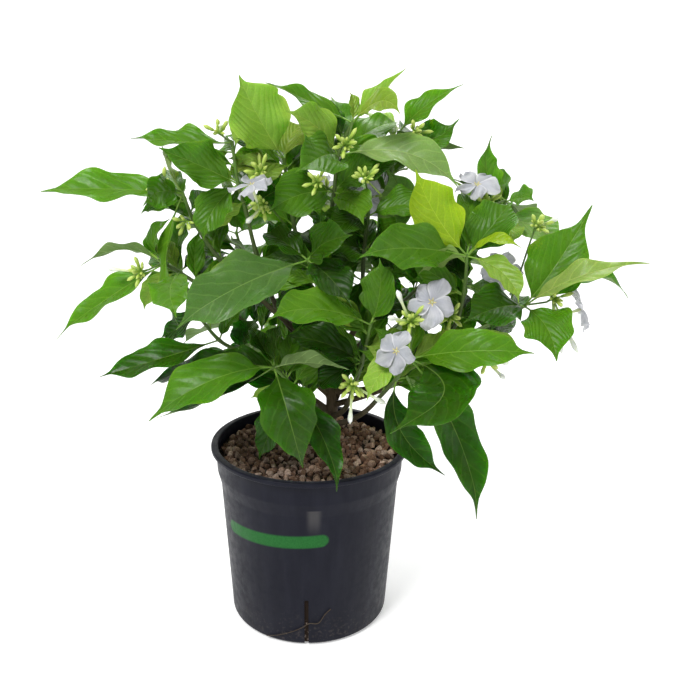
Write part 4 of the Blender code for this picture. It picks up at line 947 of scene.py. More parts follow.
def add_leaf(skin, leaf, stem, steps, columns):
    """A veined, waved leaf on its grooved petiole, in the place of its plain solid."""
    stations = np.concatenate([np.linspace(0, PETIOLE_SHARE, PETIOLE_STATIONS)[:-1],
                               np.linspace(PETIOLE_SHARE, 1, steps)])
    frames = leaf_frames(leaf, stem, stations)
    point, _, side, face = (np.array([tuple(row[k]) for row in frames])[:, None, :] for k in range(4))
    start, control, end = leaf_midrib(leaf, stem)
    length = ((control - start).length + (end - control).length) / 2
    width, phase = leaf.width * MM, leaf_phase(leaf)
    t = stations[:, None]
    along = (t - PETIOLE_SHARE) / (1 - PETIOLE_SHARE)
    column = np.array([-across for across in reversed(columns[1:])] + list(columns))[None, :]

    def waves(count, turn, lead):
        """So many waves from end to end, shifted by the leaf's phase and between its margins."""
        return np.sin(2 * math.pi * count * t + turn * phase + lead * np.sign(column))

    blade = smooth_step(along, 0.0, BLADE_FOOT)
    share = half_share(FINE_OUTLINE, along) * (1 - leaf.tail) + half_share(TAILED_OUTLINE, along) * leaf.tail
    half = np.maximum(width / 2 * share, PETIOLE_HALF_WIDTH * 0.9 * (1 - smooth_step(along, 0.0, 0.3)))
    margin = waves(MARGIN_WAVES, 1.3, 1.1) + 0.35 * waves(1.9 * MARGIN_WAVES, 2.9, -0.7)
    half = half * (1 + MARGIN_WAVE_SHARE * margin * blade * (1 - smooth_step(along, *MARGIN_FADE)))
    swing = waves(BLADE_WAVES, 1.0, BLADE_WAVE_LEAD) * FINE_WAVE_SHARE * column ** 2
    ripple = waves(RIPPLES, 2.3, 1.7) * RIPPLE_SHARE * np.abs(column) ** 3
    rise = (half * np.abs(column) ** FOLD_CURVE * math.sin(BLADE_FOLD)
            + width * (swing + ripple) * np.sin(math.pi * t))
    distance = half * column
    ridge = np.exp(-(distance / RIB_HALF_WIDTH) ** 2) * (1 - RIB_FADE * along)
    thickness = EDGE_THICKNESS + (BLADE_SKIN - EDGE_THICKNESS) * (1 - column ** 2)
    stalk = PETIOLE_DEPTH / 2 * np.sqrt(np.maximum(0.0, 1 - column ** 2)) * (1 - blade)
    tip = length * smooth_step(along, *TIP_REACH) ** 2
    middle = rise * blade - DROOP_SHARE * tip
    top = middle + (thickness / 2 - GROOVE_DEPTH * ridge) * blade + stalk * PETIOLE_CREST
    under = middle - (thickness / 2 + RIB_DEPTH * ridge) * blade - stalk
    hook = HOOK_SHARE * tip * math.sin(1.7 * phase)
    line = point + side * (distance * math.cos(BLADE_FOLD) + hook)[..., None]
    spot = np.stack(np.broadcast_arrays(distance / length, along, half / length), axis=-1)
    rings, across = distance.shape
    slots = [UPPER] + ([UPPER] * across + [UNDER] * across) * (rings - 1) + [UPPER]
    tone = np.array(TONES[leaf.tone]) * (1 + LEAF_TONE_VARIETY * math.sin(phase * 5.1))
    skin.add(both_faces(line + face * top[..., None], line + face * under[..., None]),
             ring_faces(rings, 2 * across), slots, tone, both_faces(spot, spot))


def add_stem(skin, line, radii):
    """A green stem with a swollen joint where leaves grow from it."""
    curve = smoothed(line, STEM_STEPS)
    radii = np.linspace(*radii, len(curve))
    for joint in line[1:]:
        near = np.array([(point - joint).length for point in curve])
        radii = radii * (1 + JOINT_SWELL * np.exp(-(near / JOINT_REACH) ** 2))
    tone = graded(STEM_FOOT_TONE, STEM_TIP_TONE, len(curve), STEM_SIDES)
    skin.add(*tube(curve, radii, STEM_SIDES), STEM, tone)


def peduncle_curve(shoot, cyme):
    """The stalk from a joint of the stem to its bud cluster, and its direction at its end."""
    start, hub = stem_line(shoot)[cyme.joint], place(*cyme.hub)
    aim = (hub - start).normalized().lerp(Vector(cyme.aim).normalized(), PEDUNCLE_TURN).normalized()
    return [start, hub - aim * PEDUNCLE_END, hub], aim


def bloom_foot(bloom):
    """Where a bloom's tube starts, and the direction that it faces."""
    facing = Vector(bloom.facing).normalized()
    return place(*bloom.centre) - facing * BLOOM_TUBE * bloom.size, facing


def bud_tips(cyme, hub, count, lengths, leans, turn=0.0):
    """Tips of so many buds, fanned about the cluster's aim by the golden angle."""
    mean = Vector(cyme.aim).normalized()
    side = across_to(BUD_SIDE, mean)
    tips = []
    for k in range(count):
        lean = math.radians(np.interp(math.sqrt(k / count), (0, 1), leans))
        out = Quaternion(mean, BUD_TURN * k + turn) @ side
        length = lengths[k % len(lengths)]
        tips.append(hub + (mean * math.cos(lean) + out * math.sin(lean)) * length)
    return tips


def add_bud(skin, hub, tip, profile, colours, bend=0.0):
    """A bud from its pedicel to its tip."""
    bow = across_to(Vector((0, 0, -1)), (tip - hub).normalized()) * (tip - hub).length * bend
    line = bent(hub, (hub + tip) / 2 + bow, tip, BUD_STEPS)
    places, tones = zip(*colours)
    tone = np.array([np.interp(np.linspace(0, 1, len(line)), places, part) for part in zip(*tones)])
    bud = tube(line, radii_along(profile, line), BUD_SIDES, *BUD_LOBES)
    skin.add(*bud, 0, tone.T.repeat(BUD_SIDES, axis=0))


def add_calyx(skin, foot, aim, radius):
    """Five pointed green lobes that hold the foot of a bud or a tube."""
    side = across_to(BUD_SIDE, aim)
    faces = [(0, 1, 2), (1, 0, 3), (2, 1, 3), (0, 2, 3)]
    inner = foot + aim * CALYX_SEAT
    for k in range(PETALS):
        out = Quaternion(aim, 2 * math.pi * k / PETALS) @ side
        base = foot + out * radius * CALYX_FOOT
        tip = foot + aim * CALYX_LENGTH + out * radius * CALYX_FLARE
        half = aim.cross(out) * radius * CALYX_HALF_WIDTH
        skin.add([base + half, base - half, tip, inner], faces, 0, CALYX_TONE)


def add_cyme(skin, cyme, end, aim):
    """A bud cluster: its stalk, buds, long white tubes and the blooms' pedicels."""
    foot = end + aim * GAP
    hub = foot + aim * HUB_STALK
    line = [foot, foot.lerp(hub, 0.5), hub, hub + aim * STALK_CAP]
    skin.add(*tube(line, STALK_RADII, STALK_SIDES), 0, STEM_TIP_TONE)
    for bloom in cyme.blooms:
        bloom_end, facing = bloom_foot(bloom)
        seat = bloom_end - facing * (GAP + PEDICEL_END)
        bow = seat - facing * TURN_IN * (seat - hub).length
        line = smoothed([hub, hub + (bow - hub).normalized() * PEDICEL_START,
                         bow.lerp(seat, PEDICEL_EASE), seat, bloom_end - facing * GAP], PEDICEL_STEPS)
        skin.add(*tube(line, radii_along(PEDICEL_PROFILE, line), PEDICEL_SIDES), 0, PEDICEL_TONE)
        add_calyx(skin, bloom_end - facing * BLOOM_CALYX_DROP, facing, CALYX_RADIUS)
    for tip in (place(*spot) for spot in cyme.tubes):
        add_bud(skin, hub, tip, TUBE_PROFILE, TUBE_COLOURS, TUBE_BEND)
        add_calyx(skin, hub.lerp(tip, TUBE_CALYX_AT), (tip - hub).normalized(), TUBE_CALYX_RADIUS)
    for tip in bud_tips(cyme, hub, cyme.buds, BUD_LENGTHS, BUD_LEANS):
        add_bud(skin, hub, tip, BUD_PROFILE, BUD_COLOURS)
        add_calyx(skin, hub.lerp(tip, BUD_CALYX_AT), (tip - hub).normalized(), CALYX_RADIUS)
    for tip in bud_tips(cyme, hub, round(cyme.buds * YOUNG_SHARE), YOUNG_LENGTHS, YOUNG_LEANS, YOUNG_TURN):
        add_bud(skin, hub, tip, YOUNG_PROFILE, BUD_COLOURS)


def add_bloom(skin, bloom):
    """A pinwheel flower: a slender tube that opens into five slanting, waved petals."""
    foot, facing = bloom_foot(bloom)
    centre = foot + facing * BLOOM_TUBE * bloom.size
    line = bent(foot, (foot + centre) / 2, centre, BLOOM_TUBE_STEPS)
    radii = radii_along(BLOOM_TUBE_PROFILE, line)
    skin.add(*tube(line, radii, BLOOM_TUBE_SIDES), spot=(BLOOM_TUBE_REACH, 0, 0))
    side = across_to(PETAL_SIDE, facing)
    axes = np.array([tuple(axis) for axis in (side, facing.cross(side), facing)])
    distance = np.linspace(0.0, 1.0, PETAL_ROWS)[:, None]
    across = np.linspace(-1, 1, PETAL_COLUMNS)[None, :]
    left, right = (np.interp(distance, *zip(*edge)) for edge in (PETAL_LEFT, PETAL_RIGHT))
    turns = np.radians((left + right) / 2 + (right - left) / 2 * across)
    reaches = PETAL_REACH * distance * (1 - (PETAL_ROUND * across ** 2 + PETAL_SKEW * across) * distance ** 2)
    body = (across * PETAL_CUP * distance - PETAL_DROOP * distance ** 3
            + PETAL_DOME * (1 - across ** 2) * np.sin(math.pi * distance)
            - THROAT_DEPTH * np.maximum(0, THROAT_SHARE - distance) / THROAT_SHARE)
    faces = [tuple(reversed(face)) for face in ring_faces(PETAL_ROWS, 2 * PETAL_COLUMNS)]
    for petal in range(PETALS):
        sway = petal * 1.9 + bloom.centre[0]
        reach = reaches * (1 + PETAL_VARIETY * math.sin(2.3 * sway))
        turn = turns + 2 * math.pi * petal / PETALS + PETAL_VARIETY * math.sin(3.7 * sway)
        lift = (body + PETAL_RUFFLE * np.sin(distance * 4 + across * 3.1 + sway) * distance ** 2
                + 0.4 * PETAL_RUFFLE * np.sin(across * 7.3 + 2.1 * sway) * distance ** 3)
        shares = np.stack([np.cos(turn) * reach, np.sin(turn) * reach, lift], axis=-1)
        top = np.array(centre) + shares @ axes * bloom.size
        spot = np.stack(np.broadcast_arrays(reach, across, 0), axis=-1)
        shade = 1 + PETAL_SHADE * math.sin(2.7 * sway)
        skin.add(both_faces(top, top - axes[2] * PETAL_SKIN), faces, 0, (shade, shade, shade),
                 both_faces(spot, spot))


def wall_radius(z):
    """Outer radius of the pot below its lip."""
    heights, radii = zip((0, POT_BASE_RADIUS), (POT_STEP_Z, POT_STEP_RADIUS),
                         (POT_COLLAR_FOOT_Z, POT_COLLAR_FOOT_RADIUS), (POT_HEIGHT, POT_COLLAR_RADIUS))
    return float(np.interp(z, heights, radii))


def turned_solid(profile, sides):
    """A solid of revolution from (radius, height) pairs that start and end on the axis."""
    vertices = [Vector((0, 0, profile[0][1]))]
    for radius, height in profile[1:-1]:
        vertices += [Vector((radius * math.cos(turn), radius * math.sin(turn), height))
                     for turn in (2 * math.pi * k / sides for k in range(sides))]
    vertices.append(Vector((0, 0, profile[-1][1])))
    rings = len(profile) - 2
    faces = []
    for k in range(sides):
        after = (k + 1) % sides
        faces.append((0, 1 + after, 1 + k))
        for ring in range(rings - 1):
            a, b = 1 + ring * sides + k, 1 + ring * sides + after
            faces.append((a, b, b + sides, a + sides))
        last = 1 + (rings - 1) * sides
        faces.append((len(vertices) - 1, last + k, last + after))
    return vertices, faces


def rounded(corners, radius, steps):
    """The profile with its corners rounded, but for both ends. Corners are (radius, height)."""
    profile = [corners[0]]
    for before, corner, after in zip(corners, corners[1:], corners[2:]):
        here = Vector(corner)
        back, ahead = Vector(before) - here, Vector(after) - here
        cut = min(radius, back.length * CORNER_SHARE, ahead.length * CORNER_SHARE)
        start, end = here + back.normalized() * cut, here + ahead.normalized() * cut
        profile += [tuple(point) for point in bent(start, here, end, steps)]
    return profile + [corners[-1]]


def box(low, high):
    """A box between two corners, as vertices and faces."""
    vertices = [Vector((x, y, z)) for z in (low[2], high[2]) for y in (low[1], high[1])
                for x in (low[0], high[0])]
    return vertices, [(0, 2, 3, 1), (4, 5, 7, 6), (0, 1, 5, 4), (2, 6, 7, 3), (0, 4, 6, 2), (1, 3, 7, 5)]


def slit_cutters():
    """The drain slits up the wall and the shallow arches in its foot."""
    vertices, faces = [], []
    for width, top, reach, below in DRAIN_CUTS:
        shape, sides = box((-width / 2, -POT_LIP_RADIUS, -below), (width / 2, reach - POT_BASE_RADIUS, top))
        for k in range(SLIT_COUNT):
            turn = Quaternion((0, 0, 1), 2 * math.pi * k / SLIT_COUNT)
            faces += [tuple(corner + len(vertices) for corner in side) for side in sides]
            vertices += [turn @ point for point in shape]
    return vertices, faces


def make_pot():
    """The moulded pot: collar, lip, tapered wall, foot and drain slits."""
    lip_foot = POT_HEIGHT - POT_LIP_HEIGHT
    outside = [(0, 0), (POT_BASE_RADIUS - POT_BASE_ROUND, 0), (wall_radius(POT_BASE_ROUND), POT_BASE_ROUND),
               (POT_STEP_RADIUS, POT_STEP_Z), (POT_COLLAR_FOOT_RADIUS, POT_COLLAR_FOOT_Z),
               (wall_radius(lip_foot), lip_foot), (POT_LIP_RADIUS, lip_foot),
               (POT_LIP_RADIUS, POT_HEIGHT), (wall_radius(POT_HEIGHT) - POT_WALL, POT_HEIGHT)]
    inside = [(wall_radius(z) - POT_WALL, z) for z in (POT_COLLAR_FOOT_Z, POT_STEP_Z, POT_FLOOR)]
    profile = rounded(outside + inside + [(0, POT_FLOOR)], POT_LIP_ROUND, CORNER_STEPS)
    skin = Skin()
    skin.add(*turned_solid(profile, POT_SIDES))
    pot = make_piece("nursery_pot", skin, [pot_plastic()], "pot", POT_SHARP)
    cutter = new_object("slit_cutter", new_mesh("slit_cutter", *slit_cutters()))
    boolean = pot.modifiers.new("slits", "BOOLEAN")
    boolean.operation = "DIFFERENCE"
    boolean.object = cutter
    boolean.use_self = True  # the cutters of a slit and its arch overlap
    cut = bpy.data.meshes.new_from_object(pot.evaluated_get(bpy.context.evaluated_depsgraph_get()))
    pot.modifiers.clear()
    pot.data = cut
    cut.shade_smooth()
    cut.set_sharp_from_angle(angle=math.radians(POT_SHARP))
    bpy.data.objects.remove(cutter)


def granule(random, centre, size):
    """An angular, porous-looking lump: a ball with flats cut on it."""
    points = GRANULE_BALL * (1 + GRANULE_SQUASH * (random.random(3) - 0.5))
    for _ in range(GRANULE_CUTS):
        aim = random.normal(size=3)
        aim /= np.linalg.norm(aim)
        over = np.maximum(0, points @ aim - random.uniform(*GRANULE_FLATS))
        points = points - over[:, None] * aim
    points = points * (1 + GRANULE_ROUGHNESS * random.normal(size=(len(points), 1)))
    return centre + points * size


def make_ball(steps):
    """Points and faces of a ball with a radius of 1."""
    mesh = bmesh.new()
    bmesh.ops.create_icosphere(mesh, subdivisions=steps, radius=1)
    points = np.array([tuple(vertex.co) for vertex in mesh.verts])
    faces = [tuple(vertex.index for vertex in face.verts) for face in mesh.faces]
    mesh.free()
    return points, faces


GRANULE_BALL, GRANULE_FACES = make_ball(2)


def make_medium():
    """The filling of the pot: a dark core under several hundred loose granules."""
    random = np.random.default_rng(GRANULE_SEED)
    floor, top = POT_FLOOR + GAP, MEDIUM_TOP - CORE_SINK
    wall = [(wall_radius(z) - POT_WALL - GAP, z) for z in (floor, POT_STEP_Z, MEDIUM_TOP - CORE_EDGE_SINK)]
    profile = [(0, floor), *wall, *((radius, top) for radius in CORE_RINGS), (0, top)]
    skin = Skin()
    skin.add(*turned_solid(profile, CORE_SIDES), 0, CORE_TONE)
    steps = int(MEDIUM_RADIUS / GRANULE_PITCH) + 1
    trunk = TRUNK[1]
    for row in range(-steps, steps + 1):
        for column in range(-steps, steps + 1):
            x = (column + 0.5 * (row % 2)) * GRANULE_PITCH + random.normal() * GRANULE_SCATTER
            y = row * GRANULE_PITCH * GRANULE_ROWS + random.normal() * GRANULE_SCATTER
            size = random.uniform(*GRANULE_SIZES)
            outside = math.hypot(x, y) > MEDIUM_RADIUS - size
            if outside or math.hypot(x - trunk.x, y - trunk.y) < TRUNK_CLEARANCE + size:
                continue
            z = MEDIUM_TOP - size * GRANULE_SINK + random.uniform(*GRANULE_HEIGHTS)
            brown = np.array(GRANULE_BROWNS[random.integers(len(GRANULE_BROWNS))])
            # painted light: the granules grow brighter towards the right
            brown = brown * random.uniform(*GRANULE_SHADES) * (1 + LIT_SIDE_GAIN * smooth_step(x, *LIT_SIDE_REACH))
            skin.add(granule(random, np.array((x, y, z)), size), GRANULE_FACES, 0, brown)
    make_piece("potting_granules", skin, [granule_stone()], "growing_medium", GRANULE_SHARP)


def make_wood():
    """The trunk and its branches, with knots where they part."""
    skin = Skin()
    curve = smoothed(TRUNK, TRUNK_STEPS)
    shares = np.linspace(0, len(TRUNK) - 1, len(curve))
    radii = np.interp(shares, range(len(TRUNK)), TRUNK_RADII)
    for shoot in SHOOTS:
        radii = radii * (1 + KNOT_SWELL * np.exp(-((shares - shoot.fork) / KNOT_REACH) ** 2))
    skin.add(*tube(curve, radii, TRUNK_SIDES, *TRUNK_LOBES), 0, TRUNK_TONE)
    for shoot in SHOOTS:
        stem = stem_line(shoot)
        aim = (stem[1] - stem[0]).normalized()
        start, end = stem_point(TRUNK, shoot.fork, BRANCH_END_SEAT), stem[0] - aim * GAP
        seat = end - aim * BRANCH_END
        points = bent(start, seat - aim * TURN_IN * (seat - start).length, seat, BRANCH_STEPS) + [end]
        radii = np.linspace(BRANCH_RADIUS * BRANCH_FLARE, STEM_RADIUS, len(points))
        tone = graded(TRUNK_TONE, STEM_FOOT_TONE, len(points), BRANCH_SIDES)
        skin.add(*tube(points, radii, BRANCH_SIDES, *BRANCH_LOBES), 0, tone)
    make_piece("branches", skin, [bark()], "woody_frame")


def make_root():
    """The thin root that has come out of the front slit and lies along the wall."""
    path = []
    for degrees, z in ROOT_PATH:
        turn, radius = math.radians(degrees), wall_radius(z) + GAP + 2 * ROOT_RADIUS
        path.append(Vector((radius * math.sin(turn), -radius * math.cos(turn), z)))
    curve = smoothed(path, ROOT_STEPS)
    depth, step = ROOT_KNOTS
    radii = np.linspace(ROOT_RADIUS * ROOT_THINNED, ROOT_RADIUS, len(curve))
    radii = radii * (1 + depth * np.sin(np.arange(len(curve)) * step))
    skin = Skin()
    skin.add(*tube(curve, radii, ROOT_SIDES), 0, ROOT_TONE)
    make_piece("stray_root", skin, [bark()], "escaped_root")


def make_plant():
    """Every shoot with its leaves, every bud cluster and every flower."""
    leaf_materials = [leaf_upper(), leaf_under(), green_stem()]
    bud_material, petal_material = bud_skin(), petal_skin()
    fillers = inner_leaves()
    for shoot in SHOOTS:
        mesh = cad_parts["shoot_" + shoot.name].data
        corners = KDTree(len(mesh.vertices))
        for vertex in mesh.vertices:
            corners.insert(vertex.co, vertex.index)
        corners.balance()
        line = stem_line(shoot)
        skin = Skin()
        add_stem(skin, line, (STEM_RADIUS, STEM_TIP_RADIUS))
        for leaf in shoot.leaves:
            add_leaf(skin, as_modelled(leaf, line, corners), line, LEAF_STATIONS, LEAF_COLUMNS)
        for leaf in fillers[shoot.name]:
            add_leaf(skin, leaf, line, INNER_STATIONS, INNER_COLUMNS)
        for cyme in shoot.cymes:
            points, aim = peduncle_curve(shoot, cyme)
            curve = smoothed(points, PEDUNCLE_STEPS)
            radii = [PEDUNCLE_RADIUS] * len(curve)
            skin.add(*tube(curve, radii, PEDUNCLE_SIDES), STEM, STEM_TIP_TONE)
            buds = Skin()
            add_cyme(buds, cyme, points[-1], aim)
            make_piece("bud_cluster_" + cyme.name, buds, [bud_material], "buds_" + cyme.name)
            for bloom in cyme.blooms:
                petals = Skin()
                add_bloom(petals, bloom)
                node = "bloom_" + bloom.name
                make_piece("flower_" + bloom.name, petals, [petal_material], node)
        make_piece("foliage_" + shoot.name, skin, leaf_materials, "shoot_" + shoot.name, LEAF_SHARP)


class Amount:
    """A number in a material. Sums that are written with it become nodes."""

    def __init__(self, finish, socket):
        self.finish = finish
        self.socket = socket

    def __add__(self, other):
        return self.finish.math("ADD", self, other)

    def __sub__(self, other):
        return self.finish.math("SUBTRACT", self, other)

    def __rsub__(self, other):
        return self.finish.math("SUBTRACT", other, self)

    def __mul__(self, other):
        return self.finish.math("MULTIPLY", self, other)

    def __truediv__(self, other):
        return self.finish.math("DIVIDE", self, other)

    def __pow__(self, other):
        return self.finish.math("POWER", self, other)

    def __abs__(self):
        return self.finish.math("ABSOLUTE", self)


class Finish:
    """One material and short calls for its nodes."""

    def __init__(self, name, roughness, specular):
        self.material = bpy.data.materials.new(name)
        self.material.use_nodes = True
        self.tree = self.material.node_tree
        self.shader = self.tree.nodes["Principled BSDF"]
        self.set("Roughness", roughness)
        self.set("Specular IOR Level", specular)

    def feed(self, socket, value):
        """Link an output to a socket or set its value."""
        if isinstance(value, Amount):
            value = value.socket
        if isinstance(value, bpy.types.NodeSocket):
            self.tree.links.new(value, socket)
        elif value is not None:
            socket.default_value = (*value, 1.0) if socket.type == "RGBA" else value

    def set(self, name, value):
        """Link or set an input of the shader."""
        self.feed(self.shader.inputs[name], value)

    def node(self, kind, *values, **settings):
        """A node with its inputs linked or set in order."""
        made = self.tree.nodes.new("ShaderNode" + kind)
        for key, value in settings.items():
            setattr(made, key, value)
        for socket, value in zip([socket for socket in made.inputs if socket.enabled], values):
            self.feed(socket, value)
        return made

    def texture(self, kind, vector, **inputs):
        """A texture read at a vector, or else at the place on the object."""
        made = self.node(kind)
        for name, value in {"Vector": vector or self.where(), **inputs}.items():
            self.feed(made.inputs[name], value)
        return made

    def math(self, operation, *values):
        """A number worked out from others."""
        return Amount(self, self.node("Math", *values, operation=operation).outputs[0])

    def step(self, value, low, high, start=0.0, end=1.0):
        """A soft step from start to end as the value goes from low to high."""
        made = self.node("MapRange", value, low, high, start, end, interpolation_type="SMOOTHSTEP")
        return Amount(self, made.outputs[0])

    def fall(self, value, low, high, most=1.0):
        """A soft step down from the most to 0 as the value goes from low to high."""
        return self.step(value, low, high, most, 0.0)

    def mix(self, factor, first, second, blend="MIX"):
        """Two colours mixed."""
        made = self.node("Mix", data_type="RGBA", blend_type=blend)
        for index, value in ((0, factor), (6, first), (7, second)):
            self.feed(made.inputs[index], value)
        return made.outputs[2]

    def laid(self, colour, *coats):
        """A colour with coats laid over it, each as (how much, colour)."""
        for share, coat in coats:
            colour = self.mix(share, colour, coat)
        return colour

    def paint(self, colour, *coats):
        """Make a colour with coats laid over it the base colour."""
        self.set("Base Color", self.laid(colour, *coats))

    def parts(self, vector):
        """The three parts of a vector."""
        return [Amount(self, socket) for socket in self.node("SeparateXYZ", vector).outputs]

    def tone(self):
        """The colour that the piece gives each of its points."""
        return self.node("Attribute", attribute_name="tone").outputs["Color"]

    def spot(self):
        """The three numbers that the piece gives each of its points."""
        return self.parts(self.node("Attribute", attribute_name="spot").outputs["Vector"])

    def where(self):
        """The place on the object, in metres."""
        return self.node("TexCoord").outputs["Object"]

    def drawn_out(self, share):
        """The place on the object with its height scaled, so that noise read there runs upward."""
        made = self.node("Mapping", self.where())
        self.feed(made.inputs["Scale"], (1.0, 1.0, share))
        return made.outputs[0]

    def noise(self, scale, detail=2.0, vector=None, rough=0.5):
        """Soft noise with its details scale to the metre."""
        made = self.texture("TexNoise", vector, Scale=scale, Detail=detail, Roughness=rough)
        return Amount(self, made.outputs["Fac"])

    def patches(self, scale, low, high, most=1.0):
        """Soft patches of noise, from 0 to the most."""
        return self.step(self.noise(scale, 3), low, high, 0.0, most)

    def cells(self, scale):
        """The distance from the middles of cells, scale to the metre."""
        return Amount(self, self.texture("TexVoronoi", None, Scale=scale).outputs["Distance"])

    def bump(self, height, distance):
        """Relief of the surface, with its distance in metres, on top of any set before."""
        made = self.node("Bump")
        for name, value in (("Strength", 1.0), ("Distance", distance), ("Height", height)):
            self.feed(made.inputs[name], value)
        links = self.shader.inputs["Normal"].links
        if links:
            self.feed(made.inputs["Normal"], links[0].from_socket)
        self.set("Normal", made.outputs[0])

    def glow(self, weight, reach):
        """Light that is scattered under the skin, with its reach in metres for each colour."""
        self.set("Subsurface Weight", weight)
        self.set("Subsurface Scale", 1.0)
        self.set("Subsurface Radius", reach)


def leaf_veins(finish):
    """What both faces of a leaf read: the share across and along it, vein lines, the swelling
    between them and the midrib."""
    across, along, half = finish.spot()
    out = abs(across)
    share = out / half
    sweep = out * 0.55 + out ** 2.0 * 1.9
    warp = (finish.noise(60) - 0.5) * 0.6
    side = finish.math("GREATER_THAN", across, 0.0) * 0.37
    count = (along - sweep) * VEIN_PAIRS + warp + side
    ridge = abs(finish.math("FRACT", count) - 0.5) * 2.0
    inside = finish.fall(share, 0.80, 1.0) * finish.step(along, 0.0, 0.05)
    lines = finish.step(ridge, 0.84, 0.98) * inside
    dome = finish.fall(ridge, 0.0, 1.0) * inside
    width = finish.step(along, 0.0, 1.0, 0.0105, 0.0040)
    midrib = finish.fall(out / width, 0.35, 1.0)
    return share, along, lines, dome, midrib


def leaf_upper():
    """The glossy upper face of the leaves, swollen between sunken veins."""
    finish = Finish("leaf_upper", 0.32, 0.14)
    share, along, lines, dome, midrib = leaf_veins(finish)
    tone = finish.tone()
    lighter = finish.mix(0.10, finish.mix(1.0, tone, (1.9, 1.6, 1.9), "MULTIPLY"), (0.30, 0.46, 0.08))
    blotch = finish.mix(finish.patches(38, 0.35, 0.70), tone, lighter)
    speck = finish.step(finish.noise(900, 2), 0.3, 0.8, 0.90, 1.10)
    grey = finish.node("CombineColor", speck, speck, speck).outputs[0]
    finish.paint(finish.mix(1.0, finish.mix(0.22, tone, blotch), grey, "MULTIPLY"),
                 (lines * 0.40, lighter),
                 (midrib * 0.80, finish.mix(0.22, lighter, (0.33, 0.50, 0.12))),
                 (finish.step(share, 0.93, 1.0, 0.0, 0.35), lighter),
                 (finish.fall(along, -0.02, 0.03), (0.20, 0.36, 0.06)))
    finish.set("Roughness", finish.step(finish.noise(120, 3), 0.3, 0.7, 0.25, 0.39))
    finish.glow(0.30, (0.0010, 0.0022, 0.0003))
    finish.bump(finish.noise(1400, 2), 0.00004)
    finish.bump(finish.noise(260, 3), 0.00022)
    finish.bump(dome, 0.00042)
    return finish.material


def leaf_under():
    """The paler, matt under face of the leaves, with raised veins."""
    finish = Finish("leaf_under", 0.58, 0.20)
    lines, dome, midrib = leaf_veins(finish)[2:]
    finish.paint(finish.tone(),
                 (0.45, (0.17, 0.27, 0.08)),
                 (finish.patches(45, 0.3, 0.7, 0.25), (0.24, 0.36, 0.12)),
                 (lines * 0.5, (0.30, 0.44, 0.14)),
                 (midrib * 0.85, (0.38, 0.54, 0.18)))
    finish.bump(finish.noise(900, 3), 0.00008)
    finish.bump(lines - dome * 0.5, 0.0004)
    return finish.material


def green_stem():
    """Young green stems with fine ridges and pale pores."""
    finish = Finish("green_stem", 0.50, 0.4)
    finish.paint(finish.tone(),
                 (finish.patches(90, 0.35, 0.65, 0.55), (0.060, 0.085, 0.020)),
                 (finish.fall(finish.cells(520), 0.10, 0.24, 0.5), (0.26, 0.25, 0.12)))
    finish.bump(finish.noise(700, 3), 0.0003)
    return finish.material


def bark():
    """Thin bark: grey-brown, finely cracked along the wood, with pale pores."""
    finish = Finish("bark", 0.85, 0.25)
    tone = finish.tone()
    grain = finish.noise(420, 5, finish.drawn_out(0.25), 0.65)
    finish.paint(finish.mix(0.6, tone, (0.05, 0.035, 0.02)),
                 (finish.step(grain, 0.40, 0.62), tone),
                 (finish.patches(70, 0.45, 0.7, 0.40), (0.15, 0.13, 0.09)),
                 (finish.fall(finish.cells(330), 0.08, 0.20, 0.6), (0.20, 0.17, 0.12)))
    finish.bump(grain, 0.0007)
    return finish.material


def bud_skin():
    """Waxy buds, pedicels and calyces, coloured point by point."""
    finish = Finish("bud_skin", 0.42, 0.45)
    finish.paint(finish.tone(), (finish.patches(260, 0.35, 0.7, 0.30), (0.30, 0.48, 0.08)))
    finish.glow(0.2, (0.0015, 0.0015, 0.0006))
    finish.bump(finish.noise(900, 2), 0.0001)
    return finish.material


def petal_skin():
    """White petals with fine long veins, a faint cool tint, a yellow star at the throat, and painted shade
    that darkens them towards it.
    """
    finish = Finish("petal_skin", 0.55, 0.35)
    reach, across = finish.spot()[:2]
    off = abs(across)
    streak = finish.math("SINE", across * 26.0 + finish.noise(120) * 6.0)
    star = reach - (1.0 - off) ** 2.0 * 0.0026
    colour = finish.laid((0.50, 0.50, 0.54),
                         (finish.patches(90, 0.3, 0.7), (0.36, 0.37, 0.42)),
                         (finish.step(streak, -1.0, 1.0, 0.0, 0.16), (0.33, 0.345, 0.41)),
                         # painted shade: darker towards the throat
                         (finish.fall(reach, 0.004, 0.014, 0.50), (0.31, 0.32, 0.39)),
                         # whiter towards the sides: partly the petals' own white, partly painted highlight
                         (finish.step(off, 0.70, 1.0, 0.0, 0.55), (0.80, 0.80, 0.82)),
                         (finish.fall(star, 0.0006, 0.0020), (0.72, 0.60, 0.22)),
                         (finish.fall(reach, 0.0006, 0.0014), (0.34, 0.30, 0.04)),
                         (finish.step(reach, 0.022, 0.028), (0.62, 0.68, 0.40)))
    finish.set("Base Color", finish.mix(1.0, colour, finish.tone(), "MULTIPLY"))
    finish.glow(0.5, (0.003, 0.003, 0.003))
    finish.bump(streak, 0.00005)
    finish.bump(finish.noise(500, 3), 0.00010)
    return finish.material


def granule_stone():
    """Fired, porous, dusty brown granules with painted shade in their pits."""
    finish = Finish("granule_stone", 0.95, 0.2)
    tone = finish.tone()
    grain = finish.noise(900, 5, rough=0.7)
    finish.paint(finish.mix(0.65, tone, (0.03, 0.018, 0.012)),
                 (finish.step(grain, 0.35, 0.65), tone),
                 (finish.patches(350, 0.55, 0.75, 0.55), (0.42, 0.33, 0.28)),
                 # painted shade: pits darkened
                 (finish.fall(finish.cells(900), 0.12, 0.30, 0.7), (0.03, 0.018, 0.012)))
    finish.bump(finish.cells(1100), 0.0003)
    finish.bump(grain, 0.0004)
    return finish.material


